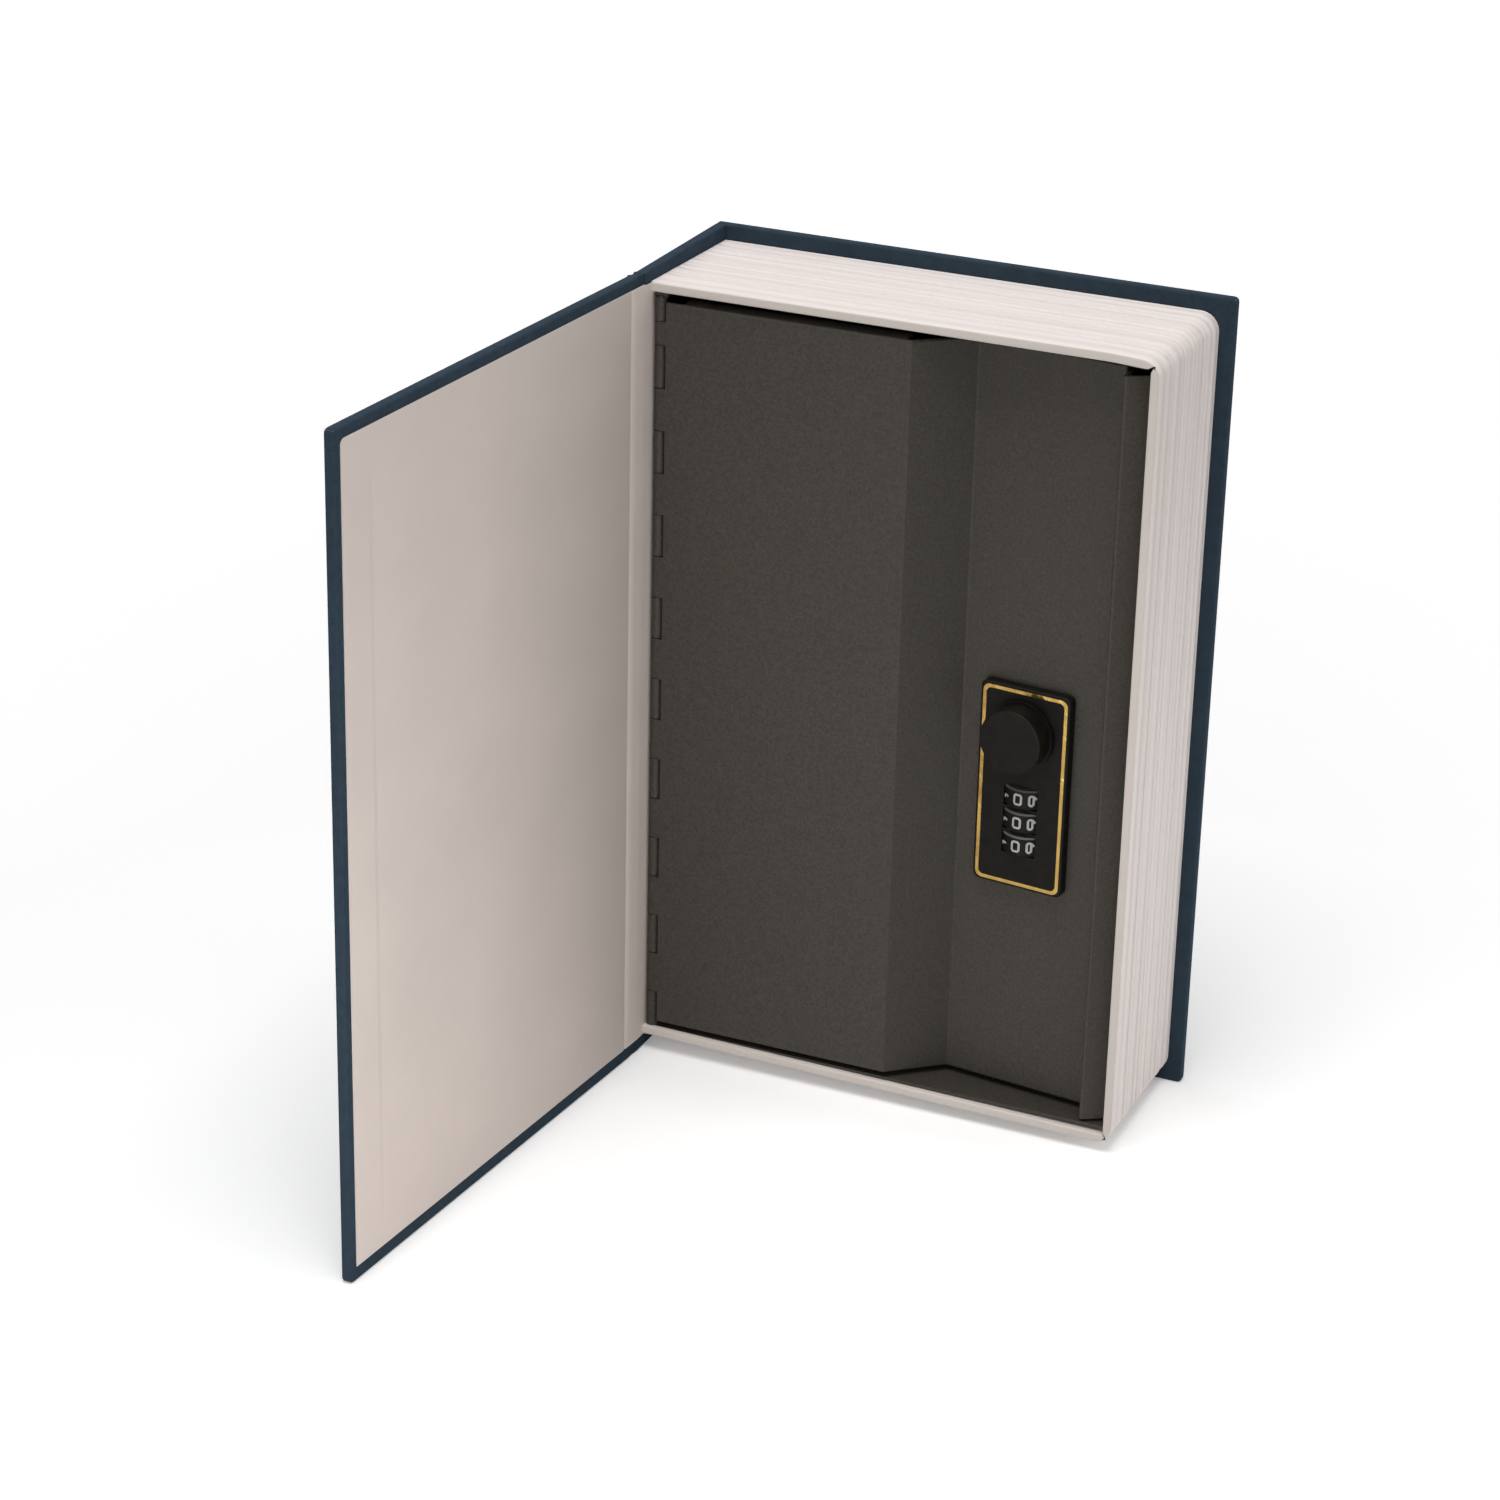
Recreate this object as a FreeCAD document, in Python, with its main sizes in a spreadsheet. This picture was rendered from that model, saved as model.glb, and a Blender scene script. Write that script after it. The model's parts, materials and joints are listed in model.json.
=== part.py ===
"""Book-shaped cash box: a hardback case around a steel lock box with a three-dial combination door.

Book frame: the fold of the front cover is the Z axis, +X runs from the spine to the fore-edge,
+Y from the closed front cover to the back cover, +Z from tail to head. Each piece is placed from
there into the part's frame, whose origin is the middle of the footprint with the cover open.
"""
import FreeCAD, Part
import math
import os
import Sketcher

DIMENSIONS = {
    # hardback case
    "book_height": 240,
    "book_width": 155,
    "book_thickness": 57,
    "cover_reach": 152.5,
    "board": 2.4,
    "cloth": 0.4,
    "paper": 0.25,
    "turn_in": 15,
    "paper_margin": 2.6,
    "back_paper_margin": 6,
    "emboss": 0.12,
    "edge_round": 0.7,
    "joint": 3.6,
    "fold_gap": 0.6,
    "groove": 0.8,
    "paper_tuck": 12,
    "cover_open_angle": 94.2,
    "cover_gap": 0.35,
    # moulded page block
    "square_head": 3.8,
    "square_tail": 3.8,
    "square_fore": 4.3,
    "rim": 2.8,
    "rim_round": 0.6,
    "page_corner": 5.5,
    "page_groove_first": 3.2,
    "page_groove_pitch": 3.9,
    "page_groove_width": 0.7,
    "page_groove_depth": 0.45,
    "mitre_notch": 0.7,
    # steel lock box
    "sheet": 0.9,
    "glue_gap": 0.1,
    "box_setback": 1.8,
    "box_clear": 0.6,
    "jamb_width": 7.8,
    "jamb_rise": 4.7,
    "jamb_return": 10.8,
    "head_setback": 3,
    "jamb_end_gap": 0.9,
    "jamb_head_gap": 2.2,
    # hinged door
    "door_setback": 1.0,
    "tail_gap": 1.6,
    "head_gap": 1.4,
    "door_end_gap": 1.1,
    "panel_run": 43.9,
    "ramp_run": 14.8,
    "valley_depth": 12.6,
    "panel_angle": 6.5,
    "door_return": 3.2,
    "door_flange": 6,
    "flange_start": 10.5,
    "bend_round": 0.8,
    "knuckle": 3.4,
    "knuckle_relief": 0.5,
    "knuckle_gap": 0.25,
    "foot_knuckle": 10,
    "head_knuckle": 5.6,
    "pin": 1.8,
    "running_gap": 0.05,
    # combination lock
    "lock_offset": 20.75,
    "spindle_height": 120.1,
    "bezel_width": 27.8,
    "bezel_height": 60.8,
    "bezel_thickness": 3,
    "bezel_above_spindle": 13.7,
    "bezel_corner": 2,
    "bezel_round": 0.6,
    "trim_inset": 0.85,
    "trim_width": 1,
    "trim_depth": 0.35,
    "trim_proud": 0.1,
    "housing_width": 19,
    "housing_above_spindle": 8.5,
    "housing_below_spindle": 43.2,
    "housing_depth": 4.6,
    "chamber_depth": 10.2,
    "chamber_wall": 3.4,
    "opening_gap": 0.25,
    "knob": 18.8,
    "knob_flange": 20.4,
    "knob_flange_height": 1.3,
    "knob_height": 7.5,
    "knob_round": 0.5,
    "knob_gap": 0.3,
    "spindle": 6,
    "spindle_offset": 0.7,
    "cam_front": 5.2,
    "cam_thickness": 2,
    "cam_width": 11,
    "cam_reach": 29.5,
    "cam_square": 4.2,
    "washer": 9,
    "washer_thickness": 0.8,
    "screw_head": 5.6,
    "screw_head_height": 1.8,
    "cam_screw": 2.6,
    "dial": 14,
    "dial_height": 5.8,
    "dial_pitch": 7.2,
    "dial_round": 0.35,
    "dial_play": 0.35,
    "first_dial": 19.1,
    "dial_axis_depth": 2.2,
    "hub": 7.2,
    "hub_flange": 9,
    "hub_flange_height": 0.6,
    "gate_width": 1.8,
    "gate_depth": 1.5,
    "press_gap": 0.02,
    "axle": 2.8,
    "back_plate": 0.8,
    "detent_leaf": 0.3,
    "clamp_plate": 1,
    "clamp_screw": 2.2,
    "clamp_screw_head": 3.6,
    "clamp_screw_inset": 2,
    "clamp_screw_grip": 1.8,
    "plate_screw": 1.8,
    "plate_screw_head": 3.2,
    "small_head_height": 1.2,
    "screw_slot": 0.6,
    "leaf_slit": 0.9,
}

DOOR_KNUCKLES = 9
DIAL_NAMES = ("top", "middle", "bottom")
PAGE_GROOVES = 12

doc = FreeCAD.newDocument("BookSafe")
sheet = doc.addObject("Spreadsheet::Sheet", "Sizes")
for row, (alias, number) in enumerate(DIMENSIONS.items(), start=1):
    sheet.set(f"A{row}", alias)
    sheet.set(f"B{row}", str(number))
    sheet.setAlias(f"B{row}", alias)
doc.recompute()


class Size:
    """A length or angle: its number, and the sheet expression that keeps it bound."""

    def __init__(self, value, text):
        self.value = value
        self.text = text

    def __add__(self, other):
        other = size(other)
        return Size(self.value + other.value, f"({self.text} + {other.text})")

    def __sub__(self, other):
        other = size(other)
        return Size(self.value - other.value, f"({self.text} - {other.text})")

    def __mul__(self, other):
        other = size(other)
        return Size(self.value * other.value, f"({self.text} * {other.text})")

    def __truediv__(self, other):
        other = size(other)
        return Size(self.value / other.value, f"({self.text} / {other.text})")

    def __neg__(self):
        return Size(-self.value, f"(-1 * {self.text})")

    __radd__ = __add__
    __rmul__ = __mul__


def size(item):
    """Take a Size as it is, a sheet alias by its name, or a plain count."""
    if isinstance(item, Size):
        return item
    if isinstance(item, str):
        return Size(float(sheet.get(item)), f"Sizes.{item}")
    return Size(float(item), repr(float(item)))


def sine(angle):
    return Size(math.sin(math.radians(angle.value)), f"sin({angle.text})")


def cosine(angle):
    return Size(math.cos(math.radians(angle.value)), f"cos({angle.text})")


def tangent(angle):
    return Size(math.tan(math.radians(angle.value)), f"tan({angle.text})")


def at(x=0, y=0, z=0, axis=(0, 0, 1), angle=0):
    """A placement expression: turn about an axis, then move."""
    x, y, z, angle = (size(item) for item in (x, y, z, angle))
    turn = f"rotation(vector({axis[0]}; {axis[1]}; {axis[2]}); {angle.text})"
    return f"placement(vector({x.text}; {y.text}; {z.text}); {turn})"


def place(item, *steps):
    item.setExpression("Placement", " * ".join(steps))
    return item


def box(name, corner, extent, *frame):
    """A block from its low corner and its extent along X, Y and Z."""
    block = doc.addObject("Part::Box", name)
    for side, length in zip(("Length", "Width", "Height"), extent):
        block.setExpression(side, size(length).text)
    return place(block, *frame, at(*corner))


def rod(name, diameter, length, *frame):
    """A round bar of the given diameter, standing on its frame's XY plane."""
    bar = doc.addObject("Part::Cylinder", name)
    bar.setExpression("Radius", (size(diameter) / 2).text)
    bar.setExpression("Height", size(length).text)
    return place(bar, *frame)


def fuse(name, shapes, *frame):
    joined = doc.addObject("Part::MultiFuse", name)
    joined.Shapes = shapes
    joined.Refine = True
    return place(joined, *frame) if frame else joined


def cut(name, base, tools, *frame):
    """Take one tool, or several joined ones, out of a base."""
    tool = tools[0] if len(tools) == 1 else fuse(f"{name}_cutters", tools)
    rest = doc.addObject("Part::Cut", name)
    rest.Base = base
    rest.Tool = tool
    rest.Refine = True
    return place(rest, *frame) if frame else rest


def edges_where(shape, test):
    """Numbers of the edges whose bounding box passes the test."""
    return [i for i, edge in enumerate(shape.Edges, start=1) if test(edge.BoundBox)]


def near(number, target, slack=0.01):
    return abs(number - target) < slack


def round_edges(name, base, radius, test, *frame):
    """Round the edges of a finished block that pass the test."""
    doc.recompute()
    rounded = doc.addObject("Part::Fillet", name)
    rounded.Base = base
    r = size(radius).value
    rounded.Edges = [(i, r, r) for i in edges_where(base.Shape, test)]
    return place(rounded, *frame) if frame else rounded


def origin_plane(body, role):
    return next(plane for plane in body.Origin.OriginFeatures if plane.Role == role)


def outline(body, name, role, points, offset=None):
    """A closed sketch through points whose two coordinates are bound to the sheet."""
    sketch = body.newObject("Sketcher::SketchObject", name)
    sketch.AttachmentSupport = [(origin_plane(body, role), "")]
    sketch.MapMode = "FlatFace"
    if offset is not None:
        sketch.setExpression("AttachmentOffset.Base.z", offset.text)
    spots = [(size(x), size(y)) for x, y in points]
    corners = [FreeCAD.Vector(x.value, y.value, 0) for x, y in spots]
    for start, end in zip(corners, corners[1:] + corners[:1]):
        sketch.addGeometry(Part.LineSegment(start, end))
    for i, (x, y) in enumerate(spots):
        sketch.addConstraint(Sketcher.Constraint("Coincident", i, 2, (i + 1) % len(spots), 1))
        for kind, coordinate in (("DistanceX", x), ("DistanceY", y)):
            bound = sketch.addConstraint(Sketcher.Constraint(kind, -1, 1, i, 1, coordinate.value))
            sketch.setExpression(f"Constraints[{bound}]", coordinate.text)
    return sketch


def pad(body, sketch, length, reverse=False):
    raised = body.newObject("PartDesign::Pad", f"{body.Name}_pad")
    raised.Profile = sketch
    raised.setExpression("Length", size(length).text)
    raised.Reversed = reverse
    return raised


def prism(name, points, height, *frame):
    """A body padded upwards from an outline in the XY plane."""
    body = doc.addObject("PartDesign::Body", name)
    pad(body, outline(body, f"{name}_outline", "XY_Plane", points), height)
    return place(body, *frame)


def soften(body, radius, test):
    """Round the edges of a body's last feature that pass the test."""
    doc.recompute()
    last = body.Tip
    names = [f"Edge{i}" for i in edges_where(last.Shape, test)]
    rounded = body.newObject("PartDesign::Fillet", f"{body.Name}_round_{len(body.Group)}")
    rounded.Base = (last, names)
    rounded.setExpression("Radius", size(radius).text)
    body.Tip = rounded


def bend(body, radius, spots):
    """Round the upright edges of a padded sheet at the given points of its outline."""
    spots = [(size(x).value, size(y).value) for x, y in spots]

    def at_a_spot(b):
        upright = near(b.XLength, 0) and near(b.YLength, 0)
        return upright and any(near(b.XMin, x) and near(b.YMin, y) for x, y in spots)

    soften(body, radius, at_a_spot)


def turned(name, profile, *frame):
    """A body turned about its own Z axis from a half profile of radius and height."""
    body = doc.addObject("PartDesign::Body", name)
    sketch = outline(body, f"{name}_profile", "XZ_Plane", profile)
    spun = body.newObject("PartDesign::Revolution", f"{name}_turning")
    spun.Profile = sketch
    spun.ReferenceAxis = (sketch, ["V_Axis"])
    spun.Angle = 360
    return place(body, *frame)


(book_height, book_width, book_thickness, cover_reach, board, cloth, paper, turn_in, joint,
 fold_gap, groove, open_angle) = map(size, (
     "book_height", "book_width", "book_thickness", "cover_reach", "board", "cloth", "paper",
     "turn_in", "joint", "fold_gap", "groove", "cover_open_angle"))
sheet_steel, knuckle, spindle_z = map(size, ("sheet", "knuckle", "spindle_height"))

# levels that several pieces share
case_wall = board + 2 * cloth
cover_inside = case_wall + paper
page_front = cover_inside + "cover_gap"
page_back = book_thickness - cover_inside
page_right = book_width - "square_fore"
page_top = book_height - "square_head"
page_bottom = size("square_tail")
box_left = case_wall + "box_clear"
box_right = page_right - "rim" - "glue_gap"
box_top = page_top - "rim" - "glue_gap"
box_bottom = page_bottom + "rim" + "glue_gap"
box_front = page_front + "box_setback"
box_back = page_back - "glue_gap"
door_front = page_front + "door_setback"
door_top = box_top - sheet_steel - "head_gap"
door_bottom = box_bottom + sheet_steel + "tail_gap"
door_height = door_top - door_bottom
jamb_edge = box_right - "jamb_width"
door_end = jamb_edge - "door_end_gap"
valley = door_end - "panel_run"
fold = valley - "ramp_run"
hinge_x = box_left + knuckle / 2
hinge_y = door_front + knuckle / 2
leaf_edge = hinge_x + knuckle / 2 + "knuckle_relief"

# frames
origin_x = (book_width + cover_reach * cosine(open_angle)) / 2
origin_y = (book_thickness - cover_reach * sine(open_angle)) / 2
BOOK = at(-origin_x, -origin_y)
COVER = f"{BOOK} * {at(angle=-open_angle)}"
panel_angle = size("panel_angle")
panel_slope = tangent(panel_angle)
lock_x = valley + size("lock_offset") * cosine(panel_angle)
lock_y = door_front + "valley_depth" - size("lock_offset") * sine(panel_angle)
PANEL = at(lock_x, lock_y, 0, angle=-panel_angle)
LOCK = f"{BOOK} * {PANEL}"
SPINDLE = f"{LOCK} * {at(-size('spindle_offset'))}"

pieces = {}


def keep(name, item):
    item.Label = name
    pieces[name] = item
    return item


# hardback case


def wrapped_board(name, corner, extent, wraps, window, *frame):
    """A board in its cloth: the cloth laps the board's edges and turns in on its inner face."""
    low = [size(item) for item in corner]
    full = [size(item) for item in extent]
    inner_low = [edge + cloth if lap[0] else edge for edge, lap in zip(low, wraps)]
    inner_full = [
        length - (int(lap[0]) + int(lap[1])) * cloth for length, lap in zip(full, wraps)
    ]
    keep(f"{name}_board", box(f"{name}_core", inner_low, inner_full, *frame))
    outer = box(f"{name}_wrap_block", low, full)
    rounded = round_edges(f"{name}_wrap_rounded", outer, "edge_round", lambda b: True)
    hollow = box(f"{name}_hollow", inner_low, inner_full)
    opening = box(f"{name}_window", *window)
    keep(f"{name}_cloth", cut(f"{name}_wrap", rounded, [hollow, opening], *frame))


def pasted_paper(name, corner, extent, filler, emboss_side, *frame):
    """An endpaper that lies over the cloth's turn-ins and dips to the bare board between them."""
    leaf = box(f"{name}_leaf", corner, extent)
    bed = box(f"{name}_bed", *filler)
    whole = fuse(f"{name}_whole", [leaf, bed])
    return keep(name, cut(f"{name}_pasted", whole, [box(f"{name}_dip", *emboss_side)], *frame))


window_height = book_height - 2 * turn_in
margin = size("paper_margin")
back_margin = size("back_paper_margin")
emboss = size("emboss")

wrapped_board(
    "front",
    (joint, 0, 0),
    (cover_reach - joint, case_wall, book_height),
    ((False, True), (True, True), (True, True)),
    ((joint, case_wall - cloth, turn_in), (cover_reach - turn_in - joint, cloth, window_height)),
    COVER,
)
pasted_paper(
    "front_endpaper",
    (joint, case_wall, margin),
    (cover_reach - joint - margin, paper, book_height - 2 * margin),
    ((joint, case_wall - cloth, turn_in), (cover_reach - turn_in - joint, cloth, window_height)),
    ((joint, cover_inside - emboss, turn_in), (cover_reach - turn_in - joint, emboss, window_height)),
    COVER,
)

spine_depth = book_thickness - case_wall - fold_gap
wrapped_board(
    "spine",
    (0, fold_gap, 0),
    (case_wall, spine_depth, book_height),
    ((True, True), (False, False), (True, True)),
    ((case_wall - cloth, fold_gap, turn_in), (cloth, spine_depth, window_height)),
    BOOK,
)

back_inner = book_thickness - case_wall
wrapped_board(
    "back",
    (0, back_inner, 0),
    (book_width, case_wall, book_height),
    ((True, True), (True, True), (True, True)),
    ((case_wall, back_inner, turn_in), (book_width - case_wall - turn_in, cloth, window_height)),
    BOOK,
)
pasted_paper(
    "back_endpaper",
    (case_wall, back_inner - paper, back_margin),
    (book_width - case_wall - back_margin, paper, book_height - 2 * back_margin),
    ((case_wall, back_inner, turn_in), (book_width - case_wall - turn_in, cloth, window_height)),
    ((case_wall, back_inner - paper, turn_in),
     (book_width - case_wall - turn_in, emboss, window_height)),
    BOOK,
)


def on_cover(x, y):
    """A point of the closed cover, turned to where the open cover holds it."""
    x, y = size(x), size(y)
    return x * cosine(open_angle) + y * sine(open_angle), y * cosine(open_angle) - x * sine(open_angle)


# the cloth and paper that cross the fold
board_inside = case_wall - cloth
keep("joint_cloth", prism(
    "joint_strip",
    [(0, fold_gap), (groove, -joint / 2), on_cover(joint, 0), on_cover(joint, board_inside),
     (board_inside - groove, -joint / 2), (board_inside, fold_gap)],
    book_height,
    BOOK,
))
keep("hinge_paper", prism(
    "hinge_leaf",
    [(case_wall, "paper_tuck"), (case_wall, fold_gap), on_cover(joint, case_wall),
     on_cover(joint, cover_inside), (cover_inside, fold_gap), (cover_inside, "paper_tuck")],
    book_height - "square_head" - "square_tail",
    BOOK,
    at(z=size("square_tail")),
))

# moulded page block: one strip bent round head, fore-edge and tail
page_left = cover_inside
notch = size("mitre_notch")
inner_right = page_right - "rim"
inner_top = page_top - "rim"
inner_bottom = page_bottom + "rim"
page_body = doc.addObject("PartDesign::Body", "page_strip")
page_outline = outline(page_body, "page_outline", "XZ_Plane", [
    (page_left, page_top), (page_right, page_top), (page_right, page_bottom),
    (page_left, page_bottom), (page_left, inner_bottom), (inner_right - notch, inner_bottom),
    (inner_right + notch, inner_bottom - notch), (inner_right, inner_bottom + notch),
    (inner_right, inner_top - notch), (inner_right + notch, inner_top + notch),
    (inner_right - notch, inner_top), (page_left, inner_top),
])
pad(page_body, page_outline, page_back - page_front, reverse=True)


def fore_edge_corner(b):
    along_depth = near(b.XLength, 0) and near(b.ZLength, 0)
    at_head_or_tail = near(b.ZMin, page_top.value) or near(b.ZMin, page_bottom.value)
    return along_depth and at_head_or_tail and near(b.XMin, page_right.value)


soften(page_body, "page_corner", fore_edge_corner)


def front_rim(b):
    """Edges of the front face that bound its outside: head, fore-edge, tail and their corners."""
    in_front = near(b.YMin, 0) and near(b.YLength, 0)
    on_head = near(b.ZMax, page_top.value) and b.XLength > 0
    on_tail = near(b.ZMin, page_bottom.value) and b.XLength > 0
    on_fore_edge = near(b.XMax, page_right.value)
    across_the_strip = near(b.XMax, page_left.value)
    return in_front and (on_head or on_tail or on_fore_edge) and not across_the_strip


soften(page_body, "rim_round", front_rim)
place(page_body, at(y=page_front))

# page lines: grooves round the outside of the strip
groove_depth = size("page_groove_depth")
groove_block = box(
    "page_groove_outside",
    (page_left, 0, page_bottom - groove_depth),
    (page_right - page_left + groove_depth, "page_groove_width",
     page_top - page_bottom + 2 * groove_depth),
)
groove_core = box(
    "page_groove_core",
    (page_left - groove_depth, 0, page_bottom + groove_depth),
    (page_right - page_left, "page_groove_width", page_top - page_bottom - 2 * groove_depth),
)
core_radius = size("page_corner") - groove_depth


def core_corner(b):
    along_depth = near(b.XLength, 0) and near(b.ZLength, 0)
    return along_depth and b.XMin > page_left.value


rounded_core = round_edges("page_groove_rounded_core", groove_core, core_radius, core_corner)
grooves = []
for index in range(PAGE_GROOVES):
    line = doc.addObject("Part::Cut", f"page_groove_{index + 1}")
    line.Base = groove_block
    line.Tool = rounded_core
    level = page_front + "page_groove_first" + index * size("page_groove_pitch")
    grooves.append(place(line, at(y=level)))
keep("page_block", cut("page_block_grooved", page_body, grooves, BOOK))

# steel lock box: folded tray with hinge knuckles on the left and a folded jamb on the right
box_width = box_right - box_left
box_depth = box_back - box_front
box_height = box_top - box_bottom
tray_shell = cut(
    "tray_shell",
    box("tray_block", (box_left, box_front, box_bottom), (box_width, box_depth, box_height)),
    [box("tray_hollow", (box_left + sheet_steel, box_front - sheet_steel, box_bottom + sheet_steel),
         (box_width - 2 * sheet_steel, box_depth, box_height - 2 * sheet_steel))],
)
wall_start = door_front + "jamb_rise"
knuckle_clear = hinge_y + knuckle / 2 + "knuckle_relief"
inner_height = box_height - 2 * sheet_steel
tray_notches = [
    box("tray_right_notch",
        (box_right - 2 * sheet_steel, box_front - sheet_steel, box_bottom + sheet_steel),
        (3 * sheet_steel, wall_start - box_front + sheet_steel, inner_height)),
    box("tray_left_notch",
        (box_left - sheet_steel, box_front - sheet_steel, box_bottom + sheet_steel),
        (3 * sheet_steel, knuckle_clear - box_front + sheet_steel, inner_height)),
    box("tray_head_notch",
        (leaf_edge, box_front - sheet_steel, box_top - 2 * sheet_steel),
        (box_right - leaf_edge + sheet_steel, sheet_steel + "head_setback", 3 * sheet_steel)),
]
jamb_turn = sheet_steel * size("jamb_rise") / size("jamb_width")
jamb = prism(
    "tray_jamb",
    [(box_right, wall_start), (jamb_edge, door_front),
     (jamb_edge, door_front + "jamb_return"),
     (jamb_edge + sheet_steel, door_front + "jamb_return"),
     (jamb_edge + sheet_steel, door_front + 2 * sheet_steel),
     (box_right - sheet_steel, wall_start + sheet_steel - jamb_turn),
     (box_right - sheet_steel, wall_start + 2 * sheet_steel),
     (box_right, wall_start + 2 * sheet_steel)],
    inner_height - "jamb_end_gap" - "jamb_head_gap",
    at(z=box_bottom + sheet_steel + "jamb_end_gap"),
)
bend(jamb, "bend_round", [(jamb_edge, door_front)])

# one hinge line, shared out between the door and the tray
SEGMENTS = 2 * DOOR_KNUCKLES - 1
hinge_foot = door_bottom + "foot_knuckle"
segment = (door_top - hinge_foot) / SEGMENTS
door_spans = [(hinge_foot + 2 * k * segment, segment) for k in range(DOOR_KNUCKLES - 1)]
door_spans.append((door_top - segment, segment - "head_knuckle"))
tray_spans = [(hinge_foot + (2 * k + 1) * segment, segment) for k in range(DOOR_KNUCKLES - 1)]
tray_spans.append((box_bottom + sheet_steel, hinge_foot - box_bottom - sheet_steel))
tray_spans.append((door_top - "head_knuckle", box_top - sheet_steel - door_top + "head_knuckle"))


def knuckles(owner, spans, leaf_corner, leaf_extent):
    """Rolled barrels over the given spans, each with the tab that joins it to its sheet."""
    made = []
    gap = size("knuckle_gap") / 2
    for number, (start, length) in enumerate(spans, start=1):
        low = start + gap
        tall = length - 2 * gap
        made.append(rod(f"{owner}_barrel_{number}", knuckle, tall, at(hinge_x, hinge_y, low)))
        made.append(box(f"{owner}_tab_{number}", (*leaf_corner, low), (*leaf_extent, tall)))
    return made


tray_barrels = knuckles(
    "tray", tray_spans,
    (box_left, hinge_y), (sheet_steel, knuckle_clear - hinge_y + sheet_steel))
pin_bore = size("pin") + 2 * size("running_gap")


def bore(name):
    return rod(name, pin_bore, box_height, at(hinge_x, hinge_y, box_bottom))


tray_open = cut("tray_open", tray_shell, tray_notches)
tray_joined = fuse("tray_joined", [tray_open, jamb] + tray_barrels)
tray_bore = rod("tray_bore", pin_bore, inner_height, at(hinge_x, hinge_y, box_bottom + sheet_steel))
keep("box_body", cut("tray", tray_joined, [tray_bore], BOOK))
keep("hinge_pin", rod("pin_rod", "pin", inner_height, BOOK,
                      at(hinge_x, hinge_y, box_bottom + sheet_steel)))

# door: one folded sheet, its right side set back to take the lock
valley_y = door_front + "valley_depth"
end_y = valley_y - (door_end - valley) * panel_slope
ramp_run = size("ramp_run")
ramp_drop = size("valley_depth")


def behind_fold():
    """Where the sheet's back face turns at the first fold and at the valley."""
    slant = Size(math.hypot(ramp_run.value, ramp_drop.value),
                 f"sqrt({ramp_run.text} ^ 2 + {ramp_drop.text} ^ 2)")
    first = fold - sheet_steel * (slant - ramp_run) / ramp_drop
    rise = panel_slope
    top = ramp_drop / ramp_run
    ramp_lift = sheet_steel * slant / ramp_run
    panel_lift = sheet_steel / cosine(panel_angle)
    turn = valley + (panel_lift - ramp_lift) / (top + rise)
    return (first, door_front + sheet_steel), (turn, valley_y + panel_lift - (turn - valley) * rise)


back_first, back_valley = behind_fold()
panel_lift = sheet_steel / cosine(panel_angle)
return_y = end_y + "door_return"
door_leaf = prism(
    "door_leaf",
    [(leaf_edge, door_front), (fold, door_front), (valley, valley_y), (door_end, end_y),
     (door_end, return_y), (door_end - sheet_steel, return_y),
     (door_end - sheet_steel, end_y + panel_lift + sheet_steel * panel_slope),
     back_valley, back_first, (leaf_edge, door_front + sheet_steel)],
    door_height,
    at(z=door_bottom),
)
bend(door_leaf, "bend_round", [(fold, door_front), (valley, valley_y), (door_end, end_y)])

flange_x = hinge_x + "flange_start" - knuckle
flange_extent = (fold - flange_x - 2 * sheet_steel, size("door_flange"), sheet_steel)
flanges = [
    box("door_head_flange", (flange_x, door_front, door_top - sheet_steel), flange_extent),
    box("door_tail_flange", (flange_x, door_front, door_bottom), flange_extent),
]
door_barrels = knuckles(
    "door", door_spans, (hinge_x, door_front), (leaf_edge - hinge_x + sheet_steel, sheet_steel))
door_joined = fuse("door_joined", [door_leaf] + flanges + door_barrels)


def door_head_and_tail(b):
    """Front edges of the raised panel along its head and tail."""
    level = near(b.ZMin, door_top.value) or near(b.ZMin, door_bottom.value)
    return level and near(b.ZLength, 0) and near(b.YMax, door_front.value) and b.XLength > fold.value / 2


door_softened = round_edges("door_softened", door_joined, "bend_round", door_head_and_tail)

housing_half = size("housing_width") / 2
housing_low = spindle_z - "housing_below_spindle"
housing_tall = size("housing_below_spindle") + "housing_above_spindle"
bezel_low = spindle_z + "bezel_above_spindle" - "bezel_height"
bezel_half = size("bezel_width") / 2
screw_inset = size("clamp_screw_inset")
clamp_spots = [
    (side * (bezel_half - screw_inset), bezel_low + level)
    for side in (-1, 1)
    for level in (screw_inset + 1, size("bezel_height") - screw_inset - 1)
]
INTO_DOOR = ((1, 0, 0), -90)


def into_door(name, diameter, spot, start, length, *frame):
    """A round bar that runs from the front of the lock panel into the door."""
    x, z = spot
    return rod(name, diameter, length, *frame, at(x, start, z, *INTO_DOOR))


opening_gap = size("opening_gap")
lock_opening = box(
    "door_lock_opening",
    (-housing_half - opening_gap, -sheet_steel, housing_low - opening_gap),
    (2 * (housing_half + opening_gap), 4 * sheet_steel, housing_tall + 2 * opening_gap),
    PANEL,
)
screw_holes = [
    into_door(f"door_screw_hole_{n}", size("clamp_screw") + 2 * opening_gap, spot,
              -sheet_steel, 4 * sheet_steel, PANEL)
    for n, spot in enumerate(clamp_spots, start=1)
]
keep("box_door", cut("door", door_softened, [bore("door_bore"), lock_opening] + screw_holes, BOOK))

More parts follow.
